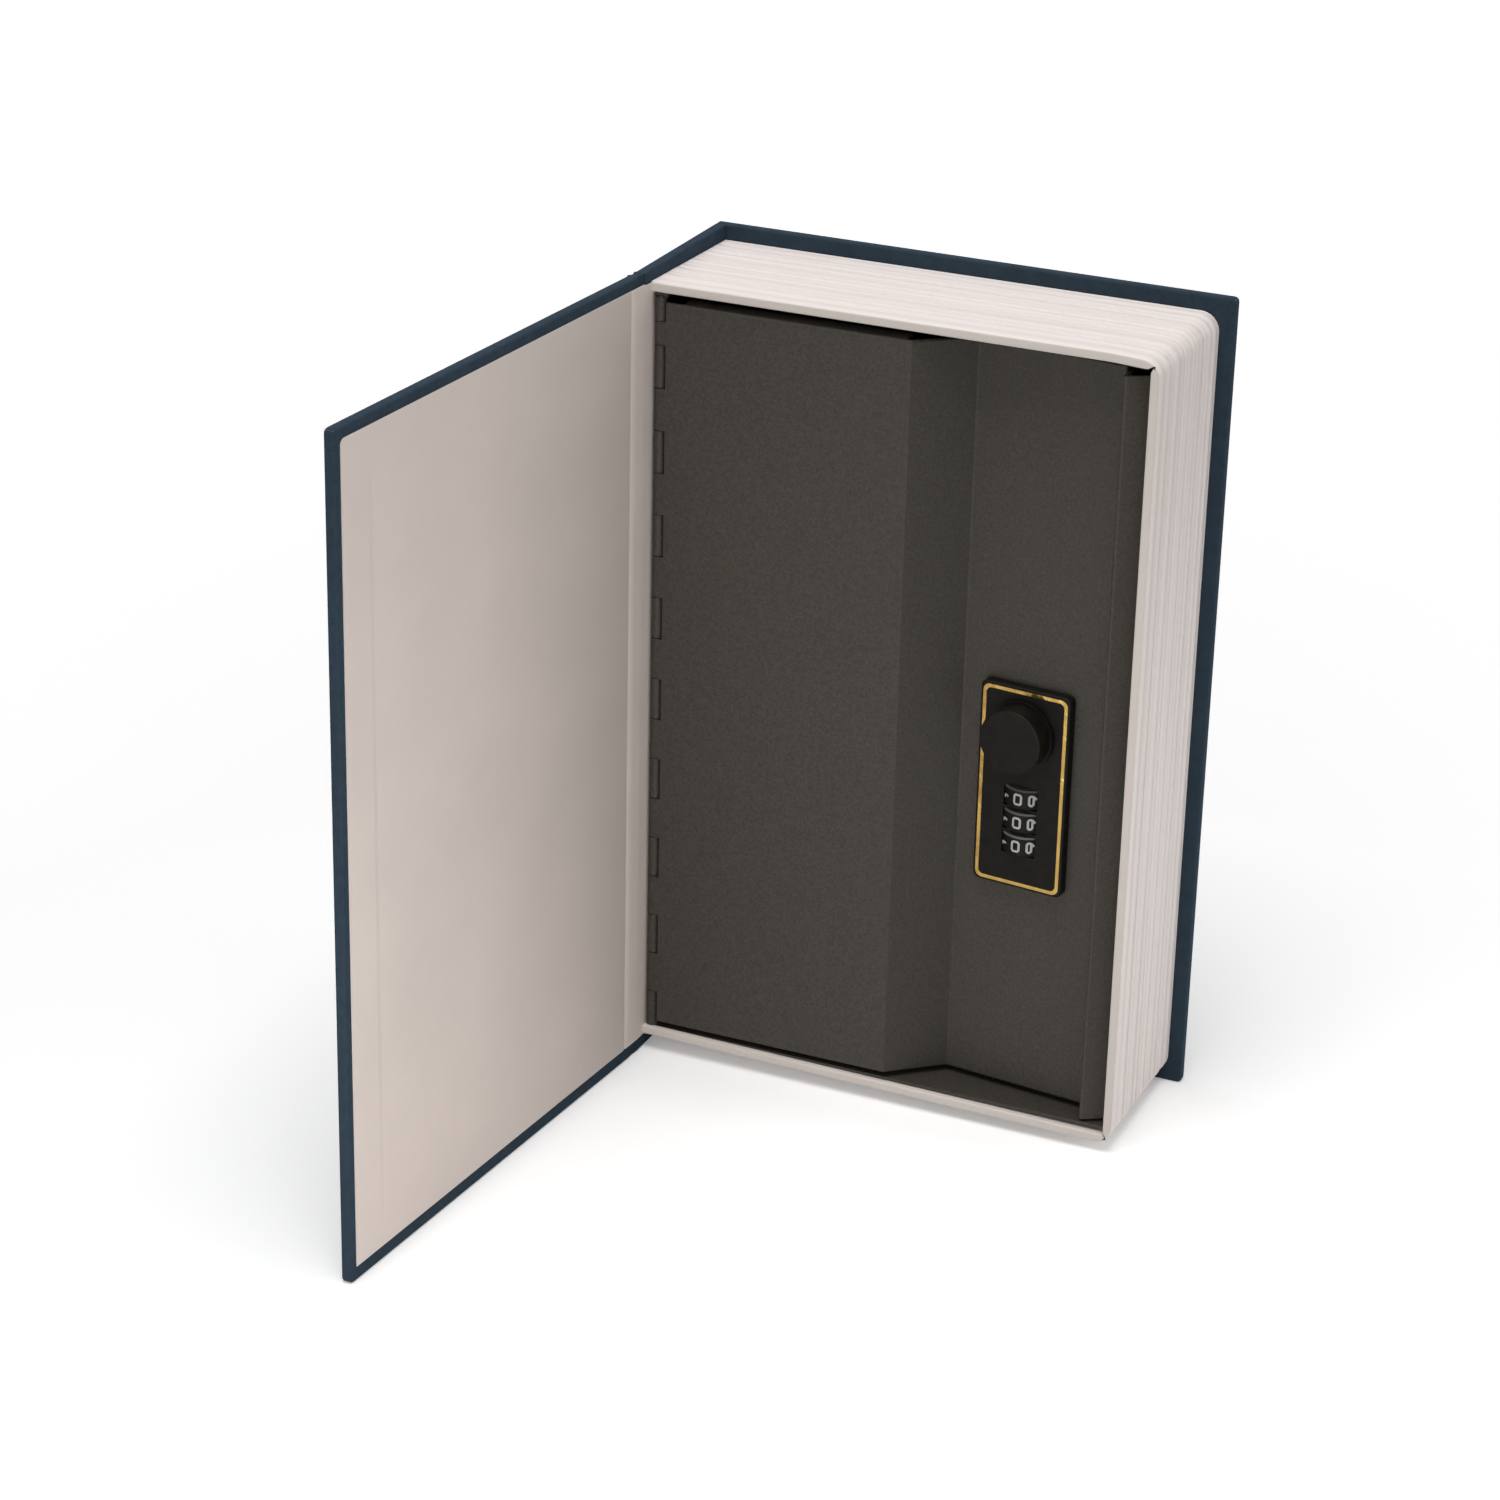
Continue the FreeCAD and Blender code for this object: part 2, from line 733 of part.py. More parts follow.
# combination lock, in the frame of the slanted panel: Y = 0 is the panel's front face
dial_levels = [spindle_z - "first_dial" - n * size("dial_pitch") for n in range(len(DIAL_NAMES))]
dial_y = size("dial_axis_depth")
dial_half = size("dial_height") / 2
dial_play = size("dial_play")
chamber_depth = size("chamber_depth")
chamber_half = size("dial") / 2 + dial_play
chamber_low = dial_levels[-1] - size("dial_pitch") / 2 - dial_play
chamber_tall = dial_levels[0] - dial_levels[-1] + "dial_pitch" + 2 * dial_play
deep_low = chamber_low - "chamber_wall"
deep_tall = chamber_tall + 2 * size("chamber_wall")
bezel_front = -size("bezel_thickness")
spindle_spot = (-size("spindle_offset"), spindle_z)

bezel_block = box(
    "bezel_block", (-bezel_half, bezel_front, bezel_low),
    ("bezel_width", "bezel_thickness", "bezel_height"))


def bezel_upright(b):
    return near(b.XLength, 0) and near(b.ZLength, 0)


bezel_cornered = round_edges("bezel_cornered", bezel_block, "bezel_corner", bezel_upright)
bezel_soft = round_edges(
    "bezel_soft", bezel_cornered, "bezel_round",
    lambda b: near(b.YMin, bezel_front.value) and near(b.YLength, 0))
housing_solid = fuse("housing_solid", [
    bezel_soft,
    box("housing_neck", (-housing_half, bezel_front + "trim_depth" + "bezel_round", housing_low),
        ("housing_width", size("housing_depth") - bezel_front - "trim_depth" - "bezel_round",
         housing_tall)),
    box("housing_chamber_block", (-housing_half, 0, deep_low),
        ("housing_width", chamber_depth, deep_tall)),
])


def trim_frame(name, start, depth):
    """A rectangular line round the bezel's face, as a ring of constant width."""
    inset, line = size("trim_inset"), size("trim_width")
    rings = []
    for label, step in (("outer", inset), ("inner", inset + line)):
        block = box(
            f"{name}_{label}", (step - bezel_half, start, bezel_low + step),
            (2 * (bezel_half - step), depth, size("bezel_height") - 2 * step))
        reach = size("bezel_corner") + (inset + line - step) / 2 - inset / 2
        rings.append(round_edges(f"{name}_{label}_rounded", block, reach, bezel_upright))
    return rings


trim_depth = size("trim_depth")
groove_rings = trim_frame("trim_groove", bezel_front - trim_depth, 2 * trim_depth)
trim_groove = cut("trim_groove", groove_rings[0], [groove_rings[1]])
dial_pockets = [
    rod(f"dial_pocket_{name}", size("dial") + 2 * dial_play, size("dial_height") + 2 * dial_play,
        at(0, dial_y, level - dial_half - dial_play))
    for name, level in zip(DIAL_NAMES, dial_levels)
]
axle_length = chamber_tall + size("chamber_wall")
axle_low = chamber_low - size("chamber_wall") / 2
housing_cuts = [
    trim_groove,
    box("chamber_hollow", (-chamber_half, dial_y, chamber_low),
        (2 * chamber_half, chamber_depth, chamber_tall)),
    rod("hub_clearance", size("hub_flange") + 2 * dial_play, chamber_tall,
        at(0, dial_y, chamber_low)),
    rod("axle_seat", size("axle") + 2 * size("press_gap"), axle_length, at(0, dial_y, axle_low)),
    into_door("spindle_bore", size("spindle") + 2 * size("running_gap"), spindle_spot,
              bezel_front, size("housing_depth") - bezel_front),
] + dial_pockets + [
    into_door(f"clamp_screw_seat_{n}", size("clamp_screw") + 2 * size("press_gap"), spot,
              -size("clamp_screw_grip"), size("clamp_screw_grip"))
    for n, spot in enumerate(clamp_spots, start=1)
]
plate_spots = [
    (-housing_half / 2, chamber_low - size("chamber_wall") / 2),
    (housing_half / 2, chamber_low + chamber_tall + size("chamber_wall") / 2),
]
plate_grip = size("plate_screw") * 2
housing_cuts += [
    into_door(f"plate_screw_seat_{n}", size("plate_screw") + 2 * size("press_gap"), spot,
              chamber_depth - plate_grip, plate_grip)
    for n, spot in enumerate(plate_spots, start=1)
]
keep("lock_housing", cut("housing", housing_solid, housing_cuts, LOCK))

trim_rings = trim_frame("trim", bezel_front - "trim_proud", trim_depth + "trim_proud")
keep("lock_trim", cut("trim_line", trim_rings[0], [trim_rings[1]], LOCK))

# clamp plate behind the door sheet, and the screws that draw the bezel against it
clamp = size("clamp_plate")
clamp_outer = box(
    "clamp_outer", (-bezel_half, sheet_steel, bezel_low),
    ("bezel_width", clamp, "bezel_height"))
clamp_holes = [
    box("clamp_window", (-housing_half - opening_gap, 0, housing_low - opening_gap),
        (2 * (housing_half + opening_gap), 4 * clamp, housing_tall + 2 * opening_gap))
] + [
    into_door(f"clamp_hole_{n}", size("clamp_screw") + 2 * opening_gap, spot, 0, 4 * clamp)
    for n, spot in enumerate(clamp_spots, start=1)
]
keep("clamp_plate", cut("clamp", clamp_outer, clamp_holes, LOCK))


def screws(name, spots, seat, grip, shank, head, head_height):
    """Like screws as one group: each a shank that reaches forward of its seat, and a round head."""
    group = []
    for n, spot in enumerate(spots, start=1):
        body = into_door(f"{name}_shank_{n}", shank, spot, seat - grip, grip)
        cap = into_door(f"{name}_head_{n}", head, spot, seat, head_height)
        slot_x, slot_z = spot
        slot = box(
            f"{name}_slot_{n}",
            (size(slot_x) - size(head) / 2, seat + size(head_height) / 2,
             size(slot_z) - size("screw_slot") / 2),
            (head, head_height, "screw_slot"))
        group.append(cut(f"{name}_{n}", fuse(f"{name}_blank_{n}", [body, cap]), [slot]))
    together = doc.addObject("Part::Compound", f"{name}_group")
    together.Links = group
    return keep(name, place(together, LOCK))


clamp_seat = sheet_steel + clamp
screws("clamp_screws", clamp_spots, clamp_seat, clamp_seat + "clamp_screw_grip",
       "clamp_screw", "clamp_screw_head", "small_head_height")

back_plate = size("back_plate")
back_sheet = box(
    "back_sheet", (-housing_half, chamber_depth, deep_low), ("housing_width", back_plate, deep_tall))
back_holes = [
    into_door(f"back_plate_hole_{n}", size("plate_screw") + 2 * opening_gap, spot, chamber_depth,
              2 * back_plate)
    for n, spot in enumerate(plate_spots, start=1)
]
keep("lock_back_plate", cut("back_sheet_holed", back_sheet, back_holes, LOCK))
screws("back_plate_screws", plate_spots, chamber_depth + back_plate, plate_grip + back_plate,
       "plate_screw", "plate_screw_head", "small_head_height")

keep("dial_axle", rod("axle_rod", "axle", axle_length, LOCK, at(0, dial_y, axle_low)))

# detent spring: a leaf on the back plate, slit into one finger for each dial
leaf = size("detent_leaf")
leaf_half = chamber_half / 2
leaf_blank = box(
    "leaf_blank", (-leaf_half, chamber_depth - leaf, chamber_low + dial_play),
    (2 * leaf_half, leaf, chamber_tall - 2 * dial_play))
leaf_slits = [
    box(f"leaf_slit_{n}", (-leaf_half / 2, chamber_depth - 2 * leaf, level - size("dial_pitch") / 2),
        (2 * leaf_half, 3 * leaf, "leaf_slit"))
    for n, level in enumerate(dial_levels[:-1], start=1)
]
keep("detent_spring", cut("leaf_slit", leaf_blank, leaf_slits, LOCK))

# locking bar: fingers that meet the gates in the dial hubs
flange_radius = size("hub_flange") / 2
finger = size("hub_flange_height")
diagonal = cosine(size(45))
bar_x = chamber_half * diagonal + dial_play
bar_y = dial_y + bar_x
flange_levels = [level - dial_half - finger - (size("dial_pitch") - "dial_height" - finger) / 2
                 for level in dial_levels]
bar_spine = box(
    "bar_spine", (bar_x, bar_y, flange_levels[-1]),
    (chamber_half - bar_x - leaf / 2, size("gate_width"), flange_levels[0] - flange_levels[-1] + finger))
finger_reach = (flange_radius + 2 * dial_play) * diagonal
fingers = [
    box(f"bar_finger_{n}", (finger_reach, dial_y + finger_reach, level),
        (chamber_half - finger_reach - leaf / 2, size("gate_width") + bar_y - dial_y - finger_reach,
         finger))
    for n, level in enumerate(flange_levels, start=1)
]
keep("locking_bar", fuse("bar", [bar_spine] + fingers, LOCK))

# number dials and their hubs
hub_bore = size("axle") + 2 * size("running_gap")
for name, level, flange_level in zip(DIAL_NAMES, dial_levels, flange_levels):
    rim_radius, height, soft = size("dial") / 2, size("dial_height"), size("dial_round")
    ring_bore = size("hub") / 2 + "press_gap"
    keep(f"dial_{name}", turned(
        f"dial_ring_{name}",
        [(ring_bore, 0), (rim_radius - soft, 0), (rim_radius, soft), (rim_radius, height - soft),
         (rim_radius - soft, height), (ring_bore, height)],
        LOCK, at(0, dial_y, level - dial_half)))
    hub_tube = rod(f"hub_tube_{name}", "hub", level + dial_half - flange_level,
                   at(0, dial_y, flange_level))
    hub_flange = rod(f"hub_flange_{name}", "hub_flange", finger, at(0, dial_y, flange_level))
    hub_cuts = [
        rod(f"hub_bore_{name}", hub_bore, size("dial_pitch") * 2,
            at(0, dial_y, flange_level - finger)),
        box(f"hub_gate_{name}",
            (flange_radius - "gate_depth", dial_y - size("gate_width") / 2, flange_level - finger),
            (2 * size("gate_depth"), "gate_width", 3 * finger)),
    ]
    keep(f"dial_hub_{name}",
         cut(f"hub_{name}", fuse(f"hub_blank_{name}", [hub_tube, hub_flange]), hub_cuts, LOCK))

# knob, spindle and cam, a little to the left of the plate's middle
knob_base = bezel_front - "knob_gap"
OUT_OF_DOOR = ((1, 0, 0), 90)
knob_radius, flange_rim = size("knob") / 2, size("knob_flange") / 2
stem_radius = size("spindle") / 2
knob_height, flange_step = size("knob_height"), size("knob_flange_height")
knob_bore = knob_height / 2
knob_soft = size("knob_round")
seat_radius = stem_radius + "press_gap"
knob_body = turned(
    "knob_turned",
    [(seat_radius, 0), (flange_rim, 0), (flange_rim, flange_step), (knob_radius, flange_step),
     (knob_radius, knob_height - "knob_gap"), (0, knob_height - "knob_gap"), (0, knob_bore),
     (seat_radius, knob_bore)],
    SPINDLE, at(0, knob_base, spindle_z, *OUT_OF_DOOR))


def knob_rim(b):
    at_front = near(b.ZMin, (knob_height - "knob_gap").value) and near(b.ZLength, 0)
    return at_front and b.XLength > knob_radius.value


soften(knob_body, knob_soft, knob_rim)
keep("lock_knob", knob_body)

cam_front, cam_thick = size("cam_front"), size("cam_thickness")
square = size("cam_square")
spindle_start = knob_base - knob_bore
stem = into_door("spindle_stem", "spindle", (0, spindle_z), spindle_start, cam_front - spindle_start)
tang = box("spindle_tang", (-square / 2, cam_front, spindle_z - square / 2),
           (square, cam_thick, square))
spindle_blank = fuse("spindle_blank", [stem, tang])
screw_length = cam_thick + stem_radius
keep("knob_spindle", cut(
    "spindle_tapped", spindle_blank,
    [into_door("spindle_tapping", size("cam_screw") + 2 * size("press_gap"), (0, spindle_z),
               cam_front + cam_thick - screw_length, screw_length)],
    SPINDLE))

cam_half = size("cam_width") / 2
cam_bar = box("cam_bar", (-cam_half, cam_front, spindle_z),
              ("cam_width", cam_thick, size("cam_reach")))


def cam_tip(b):
    return bezel_upright(b) and near(b.ZMin, (spindle_z + "cam_reach").value)


cam_tipped = round_edges("cam_tipped", cam_bar, size("cam_width") / 4, cam_tip)
cam_heel = into_door("cam_heel", "cam_width", (0, spindle_z), cam_front, cam_thick)
cam_hole_half = square / 2 + "press_gap"
cam_hole = box("cam_hole", (-cam_hole_half, cam_front - cam_thick, spindle_z - cam_hole_half),
               (2 * cam_hole_half, 3 * cam_thick, 2 * cam_hole_half))
keep("lock_cam", cut("cam", fuse("cam_blank", [cam_tipped, cam_heel]), [cam_hole], SPINDLE))

washer_seat = cam_front + cam_thick
washer_disc = into_door("washer_disc", "washer", (0, spindle_z), washer_seat, "washer_thickness")
washer_hole = into_door("washer_hole", size("cam_screw") + 2 * opening_gap, (0, spindle_z),
                        washer_seat, size("washer_thickness"))
keep("cam_washer", cut("washer_ring", washer_disc, [washer_hole], SPINDLE))
screws("cam_screw", [spindle_spot], washer_seat + "washer_thickness",
       screw_length + "washer_thickness", "cam_screw", "screw_head", "screw_head_height")

doc.recompute()
failed = [item.Name for item in doc.Objects if {"Invalid", "Error"} & set(item.State)]
if failed:
    raise RuntimeError(f"these objects did not build: {failed}")
for name, item in pieces.items():
    if item.Shape.isNull() or not item.Shape.isValid() or not item.Shape.Solids:
        raise RuntimeError(f"{name} has no valid solid")

os.makedirs("parts", exist_ok=True)
for name, item in pieces.items():
    item.Shape.exportStep(os.path.join("parts", f"{name}.step"))
    print(f"{name}: {len(item.Shape.Solids)} solids, {item.Shape.Volume:.1f} mm3")
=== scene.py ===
"""Looks of the book-shaped cash box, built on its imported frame.

The book's own directions are used throughout: X from the spine to the fore-edge, Y from the closed
front cover to the back cover, Z from tail to head, measured from the foot of the front fold.
"""
import json
import math

import bmesh
import bpy
from mathutils import Matrix, Vector


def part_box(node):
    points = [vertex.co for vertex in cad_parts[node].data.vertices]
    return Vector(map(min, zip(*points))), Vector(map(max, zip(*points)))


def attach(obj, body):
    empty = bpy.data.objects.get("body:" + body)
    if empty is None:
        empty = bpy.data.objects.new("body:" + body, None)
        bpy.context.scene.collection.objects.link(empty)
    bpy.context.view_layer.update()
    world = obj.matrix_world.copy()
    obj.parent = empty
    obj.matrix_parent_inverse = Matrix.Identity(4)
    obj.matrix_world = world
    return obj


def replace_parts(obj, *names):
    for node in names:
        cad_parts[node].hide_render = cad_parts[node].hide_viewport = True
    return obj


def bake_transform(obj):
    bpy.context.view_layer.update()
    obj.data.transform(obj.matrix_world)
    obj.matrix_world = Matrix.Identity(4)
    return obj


bl_info = {
    "name": "Book Cash Box",
    "version": (1, 0, 0),
    "blender": (4, 5, 0),
    "location": "3D View > Sidebar > Cash Box",
    "description": "Pieces, finishes and stage of a book-shaped cash box on its packed frame",
    "category": "Object",
}

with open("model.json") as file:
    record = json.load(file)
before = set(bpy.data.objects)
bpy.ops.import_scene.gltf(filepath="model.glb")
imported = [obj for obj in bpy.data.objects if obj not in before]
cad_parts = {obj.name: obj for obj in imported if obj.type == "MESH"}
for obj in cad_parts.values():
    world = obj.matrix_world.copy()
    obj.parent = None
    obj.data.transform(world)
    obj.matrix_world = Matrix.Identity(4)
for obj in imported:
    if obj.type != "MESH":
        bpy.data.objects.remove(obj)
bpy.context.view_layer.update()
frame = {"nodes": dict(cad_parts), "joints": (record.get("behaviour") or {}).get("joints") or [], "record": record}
JOINTS = {joint["name"]: joint for joint in frame["joints"]}
HINGE = JOINTS["cover_hinge"]
FOLD = Vector((HINGE["pos_m"][0], HINGE["pos_m"][1], 0))
OPEN_ANGLE = math.radians(-HINGE["range_deg"][0])
SQUARE_TO_OPEN = math.pi / 2 - OPEN_ANGLE
DIALS = ("top", "middle", "bottom")
FIGURES = 10
CLOSE = 2e-5  # metres within which two levels count as one
FLAT = 0.9  # least share of a face's normal along an axis for the face to lie square to it
SHARP = math.radians(60)  # edges bent by more than this are rounded
TURN_STEPS = 8  # sections round each corner of the page strip
SETTLE_STEPS = 8  # cuts in the run where the head comes down to its corner
FOLD_STEPS = 12  # parts of the cloth across the fold
RIB_LEVELS = (0.0, 0.1, 0.26, 0.5, 0.74, 0.9)  # cuts across a rib, as shares of its width
# pressed lines beside the fold: places across the line, each with its share of the depth
CREASE_LINE = ((-1.3, 0), (-0.5, 0.8), (0, 1), (0.5, 0.8), (1.3, 0))
GROOVE_LINE = ((-1.0, 0), (-0.6, 0.45), (0, 1), (0.6, 0.45), (1.0, 0))
TUCK_AT_FOLD = 0.4  # share of the tucked edge's drop that is reached at the fold
PAPER_DIP = 0.8  # dip of the endpaper over bare board, as a share of its thickness
PEN_EASE = 0.6  # cut across a figure's corner, as a share of the printed line
LONGEST_EASE = 0.45  # most of a stroke that this cut may take
LAMPS = (  # name, setting, width of the soft box, place
    ("overhead_soft_box", "overhead", 1.0, (0.0, -0.25, 1.5)),
    ("side_soft_box", "side", 0.8, (1.2, 0.35, 0.55)),
    ("low_side_fill", "low_side", 0.12, (0.28, 0.1, 0.05)),
    ("low_front_fill", "low_front", 0.25, (0.02, -0.26, 0.03)),
)
LIT_POINT = Vector((0, 0, 0.12))
FLOOR_WIDTH = 24
FLOOR_NEAR, FLOOR_FAR = 0.3, 1.3  # the floor brightens for the camera between these distances
SENSOR_WIDTH = 36
CLIP_END = 100
# the printed figures 0 to 9, drawn in a unit square
FIGURE_STROKES = (
    [((0, 0), (1, 0), (1, 1), (0, 1), (0, 0))],
    [((0.5, 0), (0.5, 1), (0.2, 0.75))],
    [((0, 1), (1, 1), (1, 0.5), (0, 0.5), (0, 0), (1, 0))],
    [((0, 1), (1, 1), (1, 0), (0, 0)), ((0.3, 0.5), (1, 0.5))],
    [((0.2, 1), (0, 0.35), (1, 0.35)), ((0.75, 0.7), (0.75, 0))],
    [((1, 1), (0, 1), (0, 0.5), (1, 0.5), (1, 0), (0, 0))],
    [((0, 0), (1, 0), (1, 0.6), (0, 0.6), (0, 0)), ((0, 0.5), (0.35, 1))],
    [((0, 1), (1, 1), (0.4, 0))],
    [((0, 0), (1, 0), (1, 1), (0, 1), (0, 0)), ((0, 0.5), (1, 0.5))],
    [((0, 0.4), (1, 0.4), (1, 1), (0, 1), (0, 0.4)), ((1, 0.5), (0.65, 0))],
)


# sizes and colours a user would change


def length(name, description, default):
    return bpy.props.FloatProperty(
        name=name, description=description, default=default, unit="LENGTH", precision=5)


def angle(name, description, degrees):
    return bpy.props.FloatProperty(
        name=name, description=description, default=math.radians(degrees), unit="ROTATION")


def colour(name, description, default):
    return bpy.props.FloatVectorProperty(
        name=name, description=description, default=default, subtype="COLOR", min=0, max=1)


def power(name, description, default):
    return bpy.props.FloatProperty(
        name=name, description=description, default=default, unit="POWER")


def share(name, description, default):
    return bpy.props.FloatProperty(
        name=name, description=description, default=default, min=0, max=1, subtype="FACTOR")


class PageBlockSizes(bpy.types.PropertyGroup):
    """Sizes of the ribbed strip of page edges."""
    rim: length("Rim", "Thickness of the strip", 0.0028)
    corner: length("Corner", "Outer radius where the strip turns", 0.0055)
    notch: length("Notch", "Depth of the folding notch inside each corner", 0.0009)
    front_round: length("Front Round", "Rounding of the front rim", 0.0016)
    line_depth: length("Line Depth", "Deepest page line", 0.0012)
    bulge: length("Bulge", "Rise of the head at its front, and its fall at the back", 0.0006)
    drop: length("Drop", "Fall of the head's front at the folded corner", 0.0005)
    settle: length("Settle", "Run in which the head comes down to the corner", 0.013)
    sag: length("Sag", "Fall of the tail at the fore-edge, and its rise at the spine", 0.00095)
    ribs: bpy.props.IntProperty(name="Ribs", description="Ribs across the strip", default=13, min=2)


class CaseSizes(bpy.types.PropertyGroup):
    """Sizes of the hardback case and its papers."""
    height: length("Height", "Tail to head", 0.240)
    width: length("Width", "Spine to fore-edge of the back cover", 0.155)
    thickness: length("Thickness", "Front to back", 0.057)
    reach: length("Reach", "Front cover from fold to fore-edge", 0.1525)
    wall: length("Wall", "Board with cloth on both faces", 0.0032)
    cloth: length("Cloth", "Thickness of the covering cloth", 0.0004)
    paper: length("Paper", "Thickness of the endpaper", 0.00025)
    turn_in: length("Turn-in", "Cloth turned in over the inner face", 0.015)
    margin: length("Margin", "Cloth left showing at the endpaper's fore-edge", 0.0026)
    head_margin: length("Head Margin", "Cloth left showing over the endpaper", 0.0031)
    tail_margin: length("Tail Margin", "Cloth left showing under the endpaper", 0.0044)
    paper_corner: length("Paper Corner", "Rounding of the endpaper's corner at the head", 0.0017)
    joint: length("Joint", "Fold to the start of the front board", 0.0036)
    fold_gap: length("Fold Gap", "Fold to the start of the spine", 0.0006)
    crease: length("Crease", "Fold to the pressed line beside it", 0.0068)
    tuck: length("Tuck", "Endpaper tucked in beside the steel box", 0.012)
    edge_round: length("Edge Round", "Rounding of the wrapped edges", 0.0007)
    corner_round: length("Corner Round", "Rounding of the wrapped corners", 0.0014)
    groove: length("Groove", "Depth of the pressed line outside the covers", 0.0003)


class LockSizes(bpy.types.PropertyGroup):
    """Sizes of the figures on the number dials."""
    figure_height: length("Figure Height", "Height of a printed figure, round the dial", 0.0028)
    figure_width: length("Figure Width", "Width of a printed figure, along the dial", 0.0036)
    stroke: length("Stroke", "Width of the printed line", 0.0007)
    print_lift: length("Print Lift", "Figures stand this far off the dial", 0.00006)


class Finishes(bpy.types.PropertyGroup):
    """Colours of the finishes."""
    cloth: colour("Cloth", "Navy covering cloth", (0.033, 0.052, 0.072))
    paper: colour("Endpaper", "Matt off-white paper", (0.72, 0.63, 0.58))
    pages: colour("Pages", "Moulded page strip", (0.85, 0.775, 0.745))
    # the strip's front rim is given a paler, yellower colour than the pages
    rim: colour("Rim", "Front rim of the page strip, a little yellowed", (0.9, 0.82, 0.755))
    steel_paint: colour("Steel Paint", "Powder coat on box and door", (0.049, 0.0435, 0.035))
    zinc: colour("Zinc", "Plated steel", (0.56, 0.56, 0.55))
    brass: colour("Brass", "Dial hubs", (0.62, 0.46, 0.20))
    gold: colour("Gold", "Line round the lock plate", (0.59, 0.39, 0.112))
    black: colour("Black", "Lock plastic", (0.0082, 0.0076, 0.0062))
    # painted highlight: a paler grey laid on the dials' upper rims, where light catches them
    rim_highlight: colour("Worn", "Rubbed rim of the number dials", (0.15, 0.15, 0.145))
    figures: colour("Figures", "Printed figures", (0.46, 0.46, 0.445))
    board: colour("Board", "Raw grey board", (0.30, 0.28, 0.25))


class StageSettings(bpy.types.PropertyGroup):
    """Camera, floor and light."""
    lens: bpy.props.FloatProperty(
        name="Lens", description="Focal length", default=97.755, unit="CAMERA")
    camera: bpy.props.FloatVectorProperty(
        name="Camera", description="Camera from the foot of the fold",
        default=(0.45869, -0.96910, 0.56693), subtype="XYZ", unit="LENGTH")
    azimuth: angle("Azimuth", "Camera round the object", 23.47)
    elevation: angle("Elevation", "Camera above the horizon", 23.62)
    roll: angle("Roll", "Camera about its own line of sight", 1.33)
    sky: bpy.props.FloatProperty(name="Sky", description="Even light from all round", default=0.2)
    overhead: power("Overhead", "Soft box above the book", 16.0)
    side: power("Side", "Soft box facing the fore-edge", 1.85)
    low_side: power("Low Side", "Low fill beside the fore-edge", 0.09)
    low_front: power("Low Front", "Low fill in front of the door", 0.44)
    floor: share("Floor", "Grey of the floor as the object sees it", 0.9)


class CashBoxSettings(bpy.types.PropertyGroup):
    """Everything that the cash box operators read."""
    pages: bpy.props.PointerProperty(type=PageBlockSizes)
    case: bpy.props.PointerProperty(type=CaseSizes)
    lock: bpy.props.PointerProperty(type=LockSizes)
    finishes: bpy.props.PointerProperty(type=Finishes)
    stage: bpy.props.PointerProperty(type=StageSettings)


# modelling helpers


def start(adder, name, low, high, **options):
    """Add a primitive that fills the box between two corners of the book, ready to be shaped."""
    bpy.ops.object.select_all(action="DESELECT")
    adder(size=1, **options)
    piece = bpy.context.object
    piece.name = piece.data.name = name
    low, high = FOLD + Vector(low), FOLD + Vector(high)
    piece.location = (low + high) / 2
    bpy.ops.object.transform_apply(location=False, rotation=True, scale=True)
    piece.scale = [extent or 1 for extent in high - low]
    bpy.ops.object.transform_apply(location=True, rotation=True, scale=True)
    bpy.ops.object.mode_set(mode="EDIT")
    return piece


def pick(piece, kind, test):
    """Select the vertices, edges or faces whose middle, measured from the fold, passes a test."""
    bpy.ops.mesh.select_mode(type=kind)
    bpy.ops.mesh.select_all(action="DESELECT")
    shape = bmesh.from_edit_mesh(piece.data)
    items = {"VERT": shape.verts, "EDGE": shape.edges, "FACE": shape.faces}[kind]
    count = 0
    for item in items:
        if kind == "VERT":
            middle = item.co
        elif kind == "EDGE":
            middle = (item.verts[0].co + item.verts[1].co) / 2
        else:
            middle = item.calc_center_median()
        if test(middle - FOLD, item):
            item.select_set(True)
            count += 1
    shape.select_flush_mode()
    bmesh.update_edit_mesh(piece.data)
    return count


def near(number, target):
    return abs(number - target) < CLOSE


def slice_at(axis, levels):
    """Cut the whole shape across one axis of the book at the given levels."""
    normal = [0, 0, 0]
    normal[axis] = 1
    for level in levels:
        point = FOLD.copy()
        point[axis] += level
        bpy.ops.mesh.select_all(action="SELECT")
        bpy.ops.mesh.bisect(plane_co=point, plane_no=normal)


def push(piece, test, offset):
    """Move the vertices that pass the test."""
    if pick(piece, "VERT", test):
        bpy.ops.transform.translate(value=offset)


def turn_open(piece, test):
    """Turn the vertices that pass the test from a square opening to the cover's own."""
    pick(piece, "VERT", test)
    bpy.ops.transform.rotate(value=-SQUARE_TO_OPEN, orient_axis="Z", center_override=FOLD)


def modify(piece, kind, **settings):
    """Add a modifier with its settings and apply it."""
    bpy.ops.object.mode_set(mode="OBJECT")
    modifier = piece.modifiers.new(kind.title(), kind)
    for key, value in settings.items():
        setattr(modifier, key, value)
    bpy.context.view_layer.objects.active = piece
    bpy.ops.object.modifier_apply(modifier=modifier.name)
    bpy.ops.object.mode_set(mode="EDIT")


def close_up(piece, material, smooth=30, unwrap=False):
    """Merge doubles, turn faces outwards, smooth, and give the piece its finish."""
    bpy.ops.mesh.select_mode(type="VERT")
    bpy.ops.mesh.select_all(action="SELECT")
    bpy.ops.mesh.remove_doubles(threshold=CLOSE / 10)
    bpy.ops.mesh.normals_make_consistent(inside=False)
    if unwrap:
        bpy.ops.uv.cube_project(cube_size=1)
    bpy.ops.object.mode_set(mode="OBJECT")
    bpy.ops.object.shade_smooth_by_angle(angle=math.radians(smooth))
    piece.data.materials.clear()
    piece.data.materials.append(material)


# shader helpers


